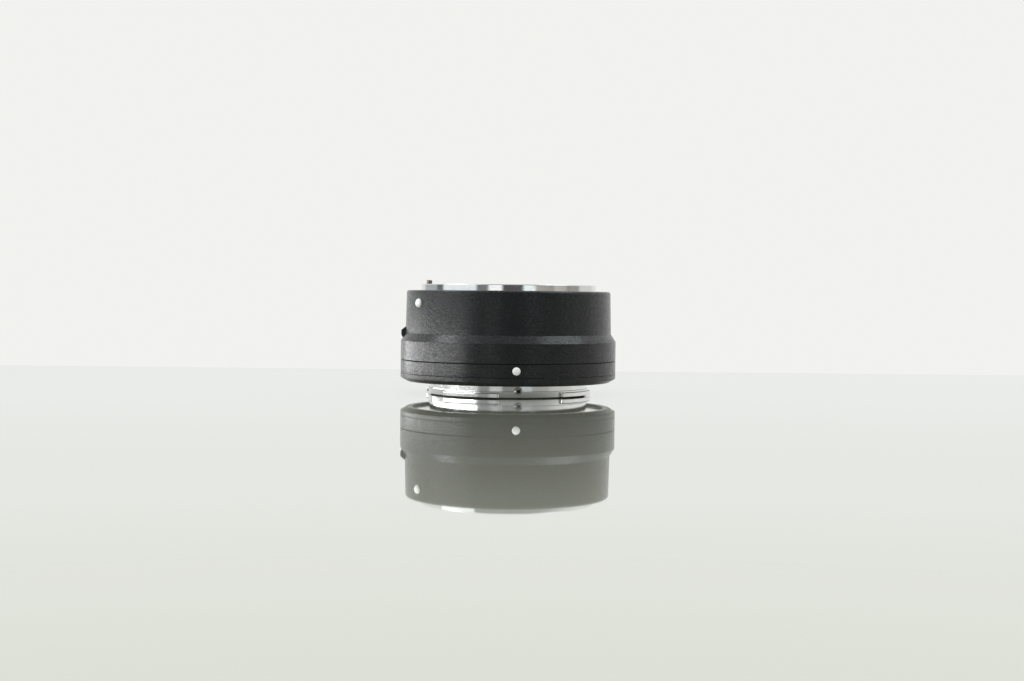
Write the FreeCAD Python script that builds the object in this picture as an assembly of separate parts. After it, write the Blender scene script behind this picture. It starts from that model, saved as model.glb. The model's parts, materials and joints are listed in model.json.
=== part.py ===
import FreeCAD, Part
import math
import os

# Lens mount adapter: a stepped barrel with a female lens bayonet on top and a male camera bayonet below.
# Lengths are in millimetres and angles in degrees. +Z points from the camera to the lens.
# The origin is the centre of the male bayonet's rim, on which the adapter stands.
# An angle theta is measured about +Z from the -Y direction towards +X.
# Radii are built outwards from the throat, and heights upwards from the rim.

# Driving heights along the optical axis
BAYONET_DEPTH = 5.0
FLANGE_DISTANCE = 30.5
LENS_RING_PROUD = 2.0
TRIM_PROUD = 0.77
TRIM_HEIGHT = 2.67
TRIM_SLOPE_HEIGHT = 1.17
REAR_BAND_HEIGHT = 4.2
FRONT_BAND_HEIGHT = 6.2
SHOULDER_HEIGHT = 2.45

# Driving widths, from the throat out to the wide band
THROAT_R = 23.6
LENS_PLATE_WIDTH = 4.84
DECK_WIDTH = 4.69
BARREL_TAPER = 0.32
SHOULDER_WIDTH = 1.55
TRIM_SLOPE_WIDTH = 1.97
BARREL_EDGE_ROUND = 0.8
EDGE_STEPS = 5

# Walls and general clearances
BARREL_WALL = 2.05
BAND_WALL = 2.0
DECK_THICKNESS = 1.5
FLOOR_THICKNESS = 2.0
SEAM_DEPTH = 0.3
SEAM_HALF_WIDTH = 0.15
TRIM_SEAM_DEPTH = 0.15
TRIM_SEAM_HALF_WIDTH = 0.08
FIT_GAP = 0.1
CLOSE_GAP = 0.05
THREAD_GAP = 0.03
MOVING_GAP = 0.3
BLOCK_GAP = 0.2

# Lens side bayonet ring
LENS_PLATE_THICKNESS = 2.5
LENS_TAB_REACH = 1.6
LENS_TAB_THICKNESS = 1.4
LENS_TAB_WIDTH = 56.0
LENS_TAB_CENTRES = (-150.0, -30.0, 90.0)
LENS_SKIRT_WALL = 0.8
LENS_SKIRT_LENGTH = 2.8
LENS_EDGE_CHAMFER = 0.25
LENS_SCREW_INSET = 2.0
LENS_SCREW_COUNT = 5
LENS_SCREW_FIRST = 18.0
LENS_SCREW_LENGTH = 5.2
LENS_BOSS_R = 1.8
LENS_BOSS_LENGTH = 2.5

# Leaf springs under the lens bayonet tabs
LEAF_THICKNESS = 0.2
LEAF_WIDTH = 1.2
LEAF_HALF_LENGTH = 7.0
LEAF_FLAT = 2.0
LEAF_DROP = 0.5
LEAF_TIP = 1.2
LEAF_SCREW_HEAD_R = 0.62
LEAF_SCREW_HEAD_HEIGHT = 0.3
LEAF_SCREW_SHANK_R = 0.35
LEAF_SCREW_LENGTH = 0.9

# Camera side bayonet
CAMERA_BORE_STEP = 1.0
NECK_WALL = 3.0
PILOT_STEP = 0.4
PILOT_HEIGHT = 2.3
CAMERA_TAB_REACH = 1.0
CAMERA_TAB_LIFT = 0.3
CAMERA_TAB_THICKNESS = 1.5
CAMERA_TAB_WIDTH = 43.9
CAMERA_TAB_ROUND = 0.5
CAMERA_TAB_CENTRES = (-118.5, -27.5, 61.5, 151.5)
CAMERA_GAP_CENTRES = (17.0, 106.5, -163.5, -73.0)
CAMERA_RIM_SLOPE = 1.5
CAMERA_BORE_CHAMFER = 0.3
CAMERA_FLANGE_WIDTH = 5.4
CAMERA_FLANGE_THICKNESS = 1.5
CAMERA_FLANGE_STEP = 0.8
CAMERA_FLANGE_STEP_HEIGHT = 0.6
CAMERA_SCREW_INSET = 3.0
CAMERA_SCREW_LENGTH = 3.2

# Stop screw that stands out of the male bayonet
STOP_THETA = 7.5
STOP_HEIGHT = 2.35
STOP_HEAD_R = 1.2
STOP_HEAD_HEIGHT = 1.1
STOP_SHANK_R = 0.7
STOP_SEAT_DEPTH = 0.2
STOP_SOCKET_R = 0.5
STOP_SOCKET_DEPTH = 0.7

# Countersunk screws of the two bayonets
MOUNT_SCREW_HEAD_R = 1.5
MOUNT_SCREW_SHANK_R = 0.8
MOUNT_SCREW_SINK = 0.08
CROSS_WIDTH = 0.4
CROSS_LENGTH = 1.7
CROSS_DEPTH = 0.5

# Barrel joint, bosses and the screws that hold the two barrels together
SPIGOT_LENGTH = 3.2
BOSS_INSET = 1.8
BOSS_R = 2.1
BOSS_THETAS = (-135.0, -45.0, 45.0, 135.0)
BOSS_SPLIT = 3.5
ASSEMBLY_HEAD_R = 1.6
ASSEMBLY_HEAD_HEIGHT = 0.9
ASSEMBLY_SHANK_R = 0.8
ASSEMBLY_GRIP = 4.0

# Ribbed throat sleeve
SLEEVE_STEP = 0.6
SLEEVE_TOP_WALL = 1.2
SLEEVE_FOOT_WALL = 2.0
APERTURE_BAY = 6.2
RIB_DEPTH = 0.4
RIB_PITCH = 1.1
RIB_COUNT = 10
RIB_FIRST_HEIGHT = 1.9
EAR_THETAS = (-150.0, -60.0, 72.0)
EAR_REACH = 2.5
EAR_WIDTH = 5.0
EAR_THICKNESS = 0.8
EAR_SCREW_INSET = 1.25
EAR_SCREW_HEAD_R = 1.0
EAR_SCREW_HEAD_HEIGHT = 0.6
EAR_SCREW_SHANK_R = 0.5
EAR_SCREW_LENGTH = 2.4

# Light baffle
BAFFLE_LAP = 1.0
BAFFLE_THICKNESS = 0.8
WINDOW_SIDE_RIM = 6.0
WINDOW_END_RIM = 10.0
WINDOW_CORNER_R = 2.0

# Release slider and lock pin
LOCK_THETA = -90.0
LOCK_TRAVEL = 1.8
PIN_INSET = 1.5
PIN_R = 0.9
PIN_PROUD = 1.3
PIN_TIP_CHAMFER = 0.2
PIN_COLLAR_R = 1.25
PIN_COLLAR_HEIGHT = 1.0
KNOB_RISE = 1.95
KNOB_HEIGHT = 4.1
KNOB_SLOPE_DROP = 1.2
KNOB_FACE_HEIGHT = 1.3
KNOB_LIP_DROP = 1.1
KNOB_PROUD = 1.45
KNOB_LIP_SETBACK = 0.5
KNOB_SEAT_DEPTH = 0.45
KNOB_WIDTH = 7.8
KNOB_GROOVE_DEPTH = 0.15
KNOB_GROOVE_SHARES = (0.25, 0.75)
STEM_WIDTH = 3.8
STEM_HEIGHT = 2.4
STEM_TOP_DROP = 0.7
SLOT_SIDE_GAP = 0.2
CARRIER_THICKNESS = 0.9
CARRIER_WIDTH = 4.6
CARRIER_DROP = 4.6
CARRIER_TOE = 1.0
ROD_SPACING = 2.4
ROD_R = 0.7
ROD_SEAT_DEPTH = 0.5
ROD_COLLAR_R = 1.6
ROD_COLLAR_HEIGHT = 0.6
LOCK_SPRING_LENGTH = 6.2
LOCK_WIRE_R = 0.18
LOCK_COIL_R = 1.3
LOCK_COIL_TURNS = 5
KNOB_SCREW_R = 0.5
KNOB_SCREW_HEAD_R = 0.95
KNOB_SCREW_HEAD_HEIGHT = 0.45
KNOB_SCREW_LENGTH = 2.0

# Lens side contacts
CONTACT_HALF_ANGLE = 31.0
CONTACT_WIDTH = 3.1
CONTACT_HEIGHT = 6.0
SHELF_THICKNESS = 2.0
SHELF_SETBACK = 0.2
CONTACT_COUNT = 8
CONTACT_PITCH = 6.5
CONTACT_PIN_INSET = 1.5
CONTACT_PIN_R = 0.55
CONTACT_PIN_PROUD = 1.0
CONTACT_PIN_ROUND = 0.4
CONTACT_COLLAR_WIDTH = 0.2
CONTACT_COLLAR_HEIGHT = 0.7
CONTACT_LID = 0.8
CONTACT_WELL_FLOOR = 0.5
CONTACT_WIRE_R = 0.1
CONTACT_COIL_TURNS = 3
TAIL_HALF_ANGLE = 9.0
TAIL_INSET = 0.7
TAIL_WIDTH = 1.6
TAIL_LENGTH = 2.2
BLOCK_SCREW_THETA = 28.0
BLOCK_SCREW_HEAD_R = 0.9
BLOCK_SCREW_HEAD_HEIGHT = 0.5
BLOCK_SCREW_SHANK_R = 0.45
BLOCK_SCREW_SINK = 0.2
BLOCK_SCREW_BITE = 1.3

# Camera side contacts
CAMERA_BLOCK_WIDTH = 3.0
CAMERA_BLOCK_HALF_ANGLE = 32.0
CAMERA_BLOCK_LIFT = 1.0
PAD_COUNT = 11
PAD_PITCH = 4.4
PAD_WIDTH = 1.1
PAD_LENGTH = 1.7
PAD_THICKNESS = 0.25
PAD_PROUD = 0.08

# Facets of the coil springs
COIL_STEPS = 8
COIL_SIDES = 4

# Circuit board and ribbon cables
BOARD_HALF_ANGLE = 36.0
BOARD_GAP = 0.4
BOARD_THICKNESS = 0.8
STANDOFF_HEIGHT = 2.0
STANDOFF_R = 1.3
STANDOFF_INSET = 1.7
STANDOFF_THETA = 30.0
BOARD_SCREW_HEAD_R = 1.0
BOARD_SCREW_HEAD_HEIGHT = 0.6
BOARD_SCREW_SHANK_R = 0.5
BOARD_SCREW_BITE = 2.2
CHIP_THETAS = (-18.0, 17.0)
CHIP_INSET = 2.4
CHIP_SIZE = 3.6
CHIP_HEIGHT = 1.0
SOCKET_WIDTH = 8.0
SOCKET_DEPTH = 1.6
SOCKET_HEIGHT = 1.2
RIBBON_WIDTH = 6.4
RIBBON_THICKNESS = 0.15
RIBBON_STAND_OFF = 0.5
RIBBON_END = 0.3
REAR_RIBBON_INSET = 0.6
REAR_RIBBON_LAP = 1.6

# Aperture drive
GEAR_MODULE = 0.3
PINION_TEETH = 12
PRESSURE_ANGLE = 20.0
TOOTH_BACKLASH = 0.06
FLANK_STEPS = 4
ROOT_SHARE = 1.25
APERTURE_TRAVEL = 28.0
APERTURE_RING_WIDTH = 2.1
APERTURE_RING_THICKNESS = 1.15
APERTURE_RING_LIFT = 0.05
SECTOR_MARGIN = 4.0
PINION_THETA = 180.0
PINION_OVERHANG = 0.2
LEVER_THETA = 90.0
LEVER_WIDTH = 2.4
LEVER_THICKNESS = 0.8
LEVER_REACH = 2.6
LEVER_FINGER_DEPTH = 1.2
LEVER_RISE = 1.0
LEVER_SEAT_DEPTH = 1.2
LEVER_SLOT_MARGIN = 4.0
RETAINER_WIDTH = 1.6
RETAINER_THICKNESS = 0.3
RETAINER_GROOVE_DEPTH = 0.25
RETAINER_OPENING = 40.0
MOTOR_R = 2.9
MOTOR_RECESS = 0.6
MOTOR_HEADROOM = 0.75
MOTOR_SHAFT_R = 0.5
MOTOR_SHAFT_DEPTH = 4.0
MOTOR_NOSE_R = 1.4
MOTOR_NOSE_HEIGHT = 0.6

# Index dots
LENS_DOT_THETA = -57.9
LENS_DOT_DROP = 4.1
LENS_DOT_R = 1.35
CAMERA_DOT_THETA = 4.4
CAMERA_DOT_DROP = 2.1
CAMERA_DOT_R = 1.25
DOT_RECESS = 0.35
DOT_EDGE_HEIGHT = 0.1
DOT_CROWN = 0.12

# Radii that follow from the driving widths
LENS_TAB_R = THROAT_R - LENS_TAB_REACH
LENS_SKIRT_R = THROAT_R + LENS_SKIRT_WALL
LENS_RING_R = THROAT_R + LENS_PLATE_WIDTH
LENS_SCREW_R = LENS_SKIRT_R + LENS_SCREW_INSET
DECK_BORE_R = LENS_SKIRT_R + FIT_GAP
BARREL_TOP_R = LENS_RING_R + DECK_WIDTH
BARREL_FOOT_R = BARREL_TOP_R + BARREL_TAPER
BARREL_BORE_R = BARREL_FOOT_R - BARREL_WALL
BAND_R = BARREL_FOOT_R + SHOULDER_WIDTH
BAND_BORE_R = BAND_R - BAND_WALL
TRIM_RIM_R = BAND_R - TRIM_SLOPE_WIDTH
BOSS_CIRCLE_R = BARREL_BORE_R - BOSS_INSET
CAMERA_BORE_R = THROAT_R - CAMERA_BORE_STEP
NECK_R = CAMERA_BORE_R + NECK_WALL
PILOT_R = NECK_R + PILOT_STEP
CAMERA_TAB_R = PILOT_R + CAMERA_TAB_REACH
CAMERA_RIM_R = PILOT_R - CAMERA_RIM_SLOPE
CAMERA_FLANGE_R = NECK_R + CAMERA_FLANGE_WIDTH
CAMERA_SCREW_R = NECK_R + CAMERA_SCREW_INSET
STOP_SEAT_R = NECK_R - STOP_SEAT_DEPTH
SLEEVE_BORE_R = THROAT_R - SLEEVE_STEP
SLEEVE_TOP_OUTER_R = SLEEVE_BORE_R + SLEEVE_TOP_WALL
SLEEVE_FOOT_OUTER_R = SLEEVE_BORE_R + SLEEVE_FOOT_WALL
EAR_R = SLEEVE_FOOT_OUTER_R + EAR_REACH
EAR_SCREW_R = SLEEVE_FOOT_OUTER_R + EAR_SCREW_INSET
BAFFLE_R = SLEEVE_BORE_R + BAFFLE_LAP
WINDOW_WIDTH = 2 * (SLEEVE_BORE_R - WINDOW_SIDE_RIM)
WINDOW_HEIGHT = 2 * (SLEEVE_BORE_R - WINDOW_END_RIM)
PIN_CIRCLE_R = LENS_SKIRT_R + PIN_INSET
ROD_CIRCLE_R = PIN_CIRCLE_R + ROD_SPACING
KNOB_INNER_R = BARREL_FOOT_R - KNOB_SEAT_DEPTH
KNOB_OUTER_R = BARREL_FOOT_R + KNOB_PROUD
KNOB_LIP_R = KNOB_OUTER_R - KNOB_LIP_SETBACK
CARRIER_INNER_R = PIN_CIRCLE_R - CARRIER_TOE
CARRIER_OUTER_R = BARREL_BORE_R - MOVING_GAP
CARRIER_ARM_R = CARRIER_OUTER_R - CARRIER_THICKNESS
CONTACT_OUTER_R = SLEEVE_BORE_R - BLOCK_GAP
CONTACT_INNER_R = CONTACT_OUTER_R - CONTACT_WIDTH
CONTACT_CIRCLE_R = CONTACT_INNER_R + CONTACT_PIN_INSET
CONTACT_COLLAR_R = CONTACT_PIN_R + CONTACT_COLLAR_WIDTH
SHELF_INNER_R = CONTACT_INNER_R + SHELF_SETBACK
TAIL_INNER_R = CONTACT_INNER_R + TAIL_INSET
TAIL_OUTER_R = TAIL_INNER_R + TAIL_WIDTH
CAMERA_BLOCK_OUTER_R = CAMERA_BORE_R - BLOCK_GAP
CAMERA_BLOCK_INNER_R = CAMERA_BLOCK_OUTER_R - CAMERA_BLOCK_WIDTH
PAD_CIRCLE_R = (CAMERA_BLOCK_INNER_R + CAMERA_BLOCK_OUTER_R) / 2
BOARD_INNER_R = SLEEVE_FOOT_OUTER_R + BOARD_GAP
BOARD_OUTER_R = BARREL_BORE_R - BOARD_GAP
STANDOFF_CIRCLE_R = BOARD_OUTER_R - STANDOFF_INSET
CHIP_CIRCLE_R = BOARD_OUTER_R - CHIP_INSET
RIBBON_R = SLEEVE_FOOT_OUTER_R + RIBBON_STAND_OFF
RIBBON_INNER_R = TAIL_INNER_R + RIBBON_END
REAR_RIBBON_R = CAMERA_BLOCK_OUTER_R - REAR_RIBBON_INSET
REAR_RIBBON_OUTER_R = BOARD_INNER_R + REAR_RIBBON_LAP
APERTURE_BORE_R = SLEEVE_TOP_OUTER_R + FIT_GAP
RING_TEETH = round(2 * (APERTURE_BORE_R + APERTURE_RING_WIDTH) / GEAR_MODULE)
RING_PITCH_R = GEAR_MODULE * RING_TEETH / 2
RING_ROOT_R = RING_PITCH_R - ROOT_SHARE * GEAR_MODULE
PINION_PITCH_R = GEAR_MODULE * PINION_TEETH / 2
PINION_CIRCLE_R = RING_PITCH_R + PINION_PITCH_R
LEVER_INNER_R = SLEEVE_BORE_R - LEVER_REACH
RETAINER_R = SLEEVE_TOP_OUTER_R + RETAINER_WIDTH

# Heights that follow from the driving heights
CAMERA_FLANGE_Z = BAYONET_DEPTH
LENS_FLANGE_Z = CAMERA_FLANGE_Z + FLANGE_DISTANCE
BODY_TOP_Z = LENS_FLANGE_Z - LENS_RING_PROUD
TRIM_RIM_Z = CAMERA_FLANGE_Z - TRIM_PROUD
TRIM_SLOPE_TOP_Z = TRIM_RIM_Z + TRIM_SLOPE_HEIGHT
TRIM_TOP_Z = TRIM_RIM_Z + TRIM_HEIGHT
SEAM_Z = TRIM_TOP_Z + REAR_BAND_HEIGHT
SHOULDER_FOOT_Z = SEAM_Z + FRONT_BAND_HEIGHT
SHOULDER_TOP_Z = SHOULDER_FOOT_Z + SHOULDER_HEIGHT
LENS_SEAT_Z = LENS_FLANGE_Z - LENS_PLATE_THICKNESS
LENS_SKIRT_Z = LENS_SEAT_Z - LENS_SKIRT_LENGTH
LENS_TAB_UNDER_Z = LENS_FLANGE_Z - LENS_TAB_THICKNESS
DECK_UNDER_Z = LENS_SEAT_Z - DECK_THICKNESS
FLOOR_UNDER_Z = CAMERA_FLANGE_Z + CAMERA_FLANGE_THICKNESS
FLOOR_TOP_Z = FLOOR_UNDER_Z + FLOOR_THICKNESS
SPIGOT_TOP_Z = SEAM_Z + SPIGOT_LENGTH
BOSS_SPLIT_Z = SEAM_Z + BOSS_SPLIT
BAFFLE_Z = FLOOR_TOP_Z - BAFFLE_THICKNESS
BOARD_Z = FLOOR_TOP_Z + STANDOFF_HEIGHT
BOARD_TOP_Z = BOARD_Z + BOARD_THICKNESS
SLEEVE_SHOULDER_Z = LENS_SKIRT_Z - APERTURE_BAY
SHELF_Z = SLEEVE_SHOULDER_Z - SHELF_THICKNESS
TAIL_Z = SLEEVE_SHOULDER_Z - TAIL_LENGTH
CONTACT_TOP_Z = SLEEVE_SHOULDER_Z + CONTACT_HEIGHT
CONTACT_LID_Z = CONTACT_TOP_Z - CONTACT_LID
CARRIER_FOOT_Z = LENS_SEAT_Z - CARRIER_DROP
CARRIER_TOP_Z = CARRIER_FOOT_Z + CARRIER_THICKNESS
ROD_COLLAR_TOP_Z = CARRIER_FOOT_Z - LOCK_SPRING_LENGTH
KNOB_TOP_Z = SHOULDER_TOP_Z + KNOB_RISE
KNOB_BOTTOM_Z = KNOB_TOP_Z - KNOB_HEIGHT
KNOB_SLOPE_Z = KNOB_TOP_Z - KNOB_SLOPE_DROP
KNOB_EDGE_Z = KNOB_SLOPE_Z - KNOB_FACE_HEIGHT
KNOB_LIP_Z = KNOB_EDGE_Z - KNOB_LIP_DROP
STEM_TOP_Z = KNOB_TOP_Z - STEM_TOP_DROP
STEM_LOW_Z = STEM_TOP_Z - STEM_HEIGHT
APERTURE_RING_Z = SLEEVE_SHOULDER_Z + APERTURE_RING_LIFT
APERTURE_RING_TOP_Z = APERTURE_RING_Z + APERTURE_RING_THICKNESS
LEVER_Z = APERTURE_RING_TOP_Z - LEVER_THICKNESS - FIT_GAP
LEVER_TOP_Z = LENS_SKIRT_Z + LEVER_RISE
RETAINER_Z = APERTURE_RING_TOP_Z + FIT_GAP
PINION_Z = APERTURE_RING_Z - PINION_OVERHANG
MOTOR_Z = FLOOR_TOP_Z - MOTOR_RECESS
MOTOR_TOP_Z = PINION_Z - MOTOR_NOSE_HEIGHT - MOTOR_HEADROOM
LENS_DOT_Z = BODY_TOP_Z - LENS_DOT_DROP
CAMERA_DOT_Z = SEAM_Z - CAMERA_DOT_DROP
MARGIN = 1.0

UP = FreeCAD.Vector(0, 0, 1)
ORIGIN = FreeCAD.Vector(0, 0, 0)
FULL_TURN = 360.0


def turned(shape, theta):
    """The shape carried about the optical axis from the -Y direction to theta."""
    copy = shape.copy()
    copy.rotate(ORIGIN, UP, theta)
    return copy


def polar(radius, theta, z):
    angle = math.radians(theta)
    return FreeCAD.Vector(radius * math.sin(angle), -radius * math.cos(angle), z)


def revolved(outline, turn=FULL_TURN, centre=0.0):
    """Solid from an outline of (radius, z) points, over an angle centred on theta."""
    start = centre - turn / 2
    points = [polar(radius, start, z) for radius, z in outline]
    face = Part.Face(Part.makePolygon(points + points[:1]))
    return face.revolve(ORIGIN, UP, turn)


def ring(inner, outer, low, high, turn=FULL_TURN, centre=0.0):
    return revolved([(inner, low), (outer, low), (outer, high), (inner, high)], turn, centre)


def block(width, inner, outer, low, high, theta=0.0):
    """Straight-sided block across a radius at theta."""
    box = Part.makeBox(width, outer - inner, high - low, FreeCAD.Vector(-width / 2, -outer, low))
    return turned(box, theta)


def rod(radius, low, high, circle=0.0, theta=0.0):
    return Part.makeCylinder(radius, high - low, polar(circle, theta, low), UP)


def cone(low_radius, high_radius, low, high, circle, theta):
    return Part.makeCone(low_radius, high_radius, high - low, polar(circle, theta, low), UP)


def fused(shapes):
    first = shapes[0]
    return first.multiFuse(shapes[1:]).removeSplitter()


def group(shapes):
    return Part.makeCompound(shapes)


def spread(count, pitch):
    """Angles of a row of like pieces centred on theta zero."""
    return [(index - (count - 1) / 2) * pitch for index in range(count)]


def cross_recess(top, downwards, circle, theta):
    """Cutter for a cross recess whose open end is at z = top."""
    low = top - CROSS_DEPTH if downwards else top - MARGIN
    high = top + MARGIN if downwards else top + CROSS_DEPTH
    centre = polar(circle, theta, 0)
    arms = []
    for length, width in ((CROSS_LENGTH, CROSS_WIDTH), (CROSS_WIDTH, CROSS_LENGTH)):
        corner = FreeCAD.Vector(centre.x - length / 2, centre.y - width / 2, low)
        arms.append(Part.makeBox(length, width, high - low, corner))
    return fused(arms)


def sunk_screw(face_z, downwards, length, circle, theta, gap=0.0):
    """Countersunk screw in a face at face_z; with a gap it is the cutter of its hole."""
    head = MOUNT_SCREW_HEAD_R + gap
    shank = MOUNT_SCREW_SHANK_R + gap
    depth = MOUNT_SCREW_HEAD_R - MOUNT_SCREW_SHANK_R
    way = -1 if downwards else 1
    top = face_z + way * (0 if gap else MOUNT_SCREW_SINK)
    neck = face_z + way * (MOUNT_SCREW_SINK + depth)
    tip = face_z + way * (length + (THREAD_GAP if gap else 0))
    rim = face_z + way * MOUNT_SCREW_SINK
    head_low, head_high = min(rim, neck), max(rim, neck)
    low_r, high_r = (shank, head) if downwards else (head, shank)
    pieces = [cone(low_r, high_r, head_low, head_high, circle, theta)]
    pieces.append(rod(shank, min(neck, tip), max(neck, tip), circle, theta))
    if gap:
        open_end = top - way * MARGIN
        pieces.append(rod(head, min(rim, open_end), max(rim, open_end), circle, theta))
        return fused(pieces)
    return fused(pieces).cut(cross_recess(top, downwards, circle, theta))


def pan_screw(seat_z, upwards, head_r, head_height, shank_r, length, circle, theta):
    """Plain cylinder-head screw; its head lies beyond seat_z, away from the way it is driven."""
    way = 1 if upwards else -1
    head_end = seat_z - way * head_height
    tip = seat_z + way * length
    head = rod(head_r, min(seat_z, head_end), max(seat_z, head_end), circle, theta)
    shank = rod(shank_r, min(seat_z, tip), max(seat_z, tip), circle, theta)
    return fused([head, shank])


def barrel_radius(z):
    """Outer radius of the tapered barrel at a height."""
    share = (z - SHOULDER_TOP_Z) / (BODY_TOP_Z - SHOULDER_TOP_Z)
    return BARREL_FOOT_R + share * (BARREL_TOP_R - BARREL_FOOT_R)


def outward(shape, radius, theta, z):
    """Carry a shape built along +Z so that it points out from the axis."""
    copy = shape.copy()
    copy.rotate(ORIGIN, FreeCAD.Vector(1, 0, 0), 90)
    copy.translate(FreeCAD.Vector(0, -radius, z))
    return turned(copy, theta)


def dot(radius):
    """Domed paint-filled dot, with its back at z = 0."""
    top = DOT_RECESS + DOT_EDGE_HEIGHT + DOT_CROWN
    crown_r = (radius ** 2 + DOT_CROWN ** 2) / (2 * DOT_CROWN)
    crown = Part.makeSphere(crown_r, FreeCAD.Vector(0, 0, top - crown_r))
    return rod(radius, 0, top).common(crown)


def dot_recess(radius):
    return rod(radius + THREAD_GAP, 0, DOT_RECESS + MARGIN)


def coil(wire_r, coil_r, turns, low, high, circle, theta):
    """Open helical spring between two heights, of straight facets so that it stays light."""
    rise = high - low - 2 * wire_r
    count = turns * COIL_STEPS
    rings = []
    for index in range(count + 1):
        way = 2 * math.pi * index / COIL_STEPS
        corners = []
        for side in range(COIL_SIDES):
            lean = 2 * math.pi * side / COIL_SIDES
            radius = coil_r + wire_r * math.cos(lean)
            height = low + wire_r + rise * index / count + wire_r * math.sin(lean)
            corners.append(FreeCAD.Vector(radius * math.cos(way), radius * math.sin(way), height))
        rings.append(corners)
    faces = [rings[0], rings[-1]]
    for near, far in zip(rings, rings[1:]):
        for side in range(COIL_SIDES):
            after = (side + 1) % COIL_SIDES
            faces.append([near[side], near[after], far[after]])
            faces.append([near[side], far[after], far[side]])
    shell = Part.makeShell([Part.Face(Part.makePolygon(face + face[:1])) for face in faces])
    spring = Part.makeSolid(shell)
    if spring.Volume < 0:
        spring.reverse()
    spring.translate(polar(circle, theta, 0))
    return spring


def front_barrel():
    edge_z = BODY_TOP_Z - BARREL_EDGE_ROUND
    outline = [
        (BAND_BORE_R, SEAM_Z),
        (BAND_R - SEAM_DEPTH, SEAM_Z),
        (BAND_R, SEAM_Z + SEAM_HALF_WIDTH),
        (BAND_R, SHOULDER_FOOT_Z),
        (BARREL_FOOT_R, SHOULDER_TOP_Z),
        (barrel_radius(edge_z), edge_z),
    ]
    round_centre_r = barrel_radius(edge_z) - BARREL_EDGE_ROUND
    for step in range(1, EDGE_STEPS + 1):
        angle = math.radians(90.0 * step / EDGE_STEPS)
        outline.append((round_centre_r + BARREL_EDGE_ROUND * math.cos(angle),
                        edge_z + BARREL_EDGE_ROUND * math.sin(angle)))
    outline += [
        (LENS_RING_R + FIT_GAP, BODY_TOP_Z),
        (LENS_RING_R + FIT_GAP, LENS_SEAT_Z),
        (DECK_BORE_R, LENS_SEAT_Z),
        (DECK_BORE_R, DECK_UNDER_Z),
        (BARREL_BORE_R, DECK_UNDER_Z),
        (BARREL_BORE_R, BOSS_SPLIT_Z),
        (BAND_BORE_R, BOSS_SPLIT_Z),
    ]
    shell = revolved(outline)
    bosses = [rod(BOSS_R, BOSS_SPLIT_Z, DECK_UNDER_Z, BOSS_CIRCLE_R, theta) for theta in BOSS_THETAS]
    bosses += [rod(LENS_BOSS_R, DECK_UNDER_Z - LENS_BOSS_LENGTH, DECK_UNDER_Z, LENS_SCREW_R, theta)
               for theta in lens_screw_thetas()]
    body = fused([shell] + bosses)
    cuts = [ring(0, DECK_BORE_R, DECK_UNDER_Z - LENS_BOSS_LENGTH - MARGIN, LENS_SEAT_Z + MARGIN)]
    cuts += [lens_screw(theta, THREAD_GAP) for theta in lens_screw_thetas()]
    cuts += [assembly_screw_hole(theta) for theta in BOSS_THETAS]
    cuts += release_openings()
    dot_floor_r = barrel_radius(LENS_DOT_Z) - DOT_RECESS
    cuts.append(outward(dot_recess(LENS_DOT_R), dot_floor_r, LENS_DOT_THETA, LENS_DOT_Z))
    return body.cut(cuts)


def release_openings():
    """Pocket for the knob, slot for its stem, and the deck's cut-outs for the lock pin and rod."""
    knob_angle = math.degrees((KNOB_WIDTH + 2 * MOVING_GAP) / KNOB_OUTER_R)
    pocket = ring(KNOB_INNER_R - FIT_GAP, BAND_R + MARGIN, KNOB_BOTTOM_Z - LOCK_TRAVEL - MOVING_GAP,
                  KNOB_TOP_Z + MOVING_GAP, knob_angle, LOCK_THETA)
    slot = block(STEM_WIDTH + 2 * SLOT_SIDE_GAP, BARREL_BORE_R - MARGIN, KNOB_INNER_R + MARGIN,
                 STEM_LOW_Z - LOCK_TRAVEL - MOVING_GAP, STEM_TOP_Z + MOVING_GAP, LOCK_THETA)
    notch_r = PIN_CIRCLE_R + PIN_COLLAR_R + SLOT_SIDE_GAP
    notch = block(2 * (PIN_COLLAR_R + SLOT_SIDE_GAP), DECK_BORE_R - MARGIN, notch_r,
                  DECK_UNDER_Z - MARGIN, LENS_SEAT_Z, LOCK_THETA)
    rod_seat = rod(ROD_R + THREAD_GAP, DECK_UNDER_Z, DECK_UNDER_Z + ROD_SEAT_DEPTH, ROD_CIRCLE_R, LOCK_THETA)
    return [pocket, slot, notch, rod_seat]


def assembly_seat_z():
    return FLOOR_UNDER_Z + ASSEMBLY_HEAD_HEIGHT + FIT_GAP


def assembly_screw_length():
    return BOSS_SPLIT_Z - assembly_seat_z() + ASSEMBLY_GRIP


def assembly_screw_hole(theta):
    seat = assembly_seat_z()
    head = rod(ASSEMBLY_HEAD_R + FIT_GAP, FLOOR_UNDER_Z - MARGIN, seat, BOSS_CIRCLE_R, theta)
    tip = seat + assembly_screw_length() + THREAD_GAP
    return fused([head, rod(ASSEMBLY_SHANK_R + THREAD_GAP, seat, tip, BOSS_CIRCLE_R, theta)])


def assembly_screws():
    return group([pan_screw(assembly_seat_z(), True, ASSEMBLY_HEAD_R, ASSEMBLY_HEAD_HEIGHT, ASSEMBLY_SHANK_R,
                            assembly_screw_length(), BOSS_CIRCLE_R, theta) for theta in BOSS_THETAS])


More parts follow.
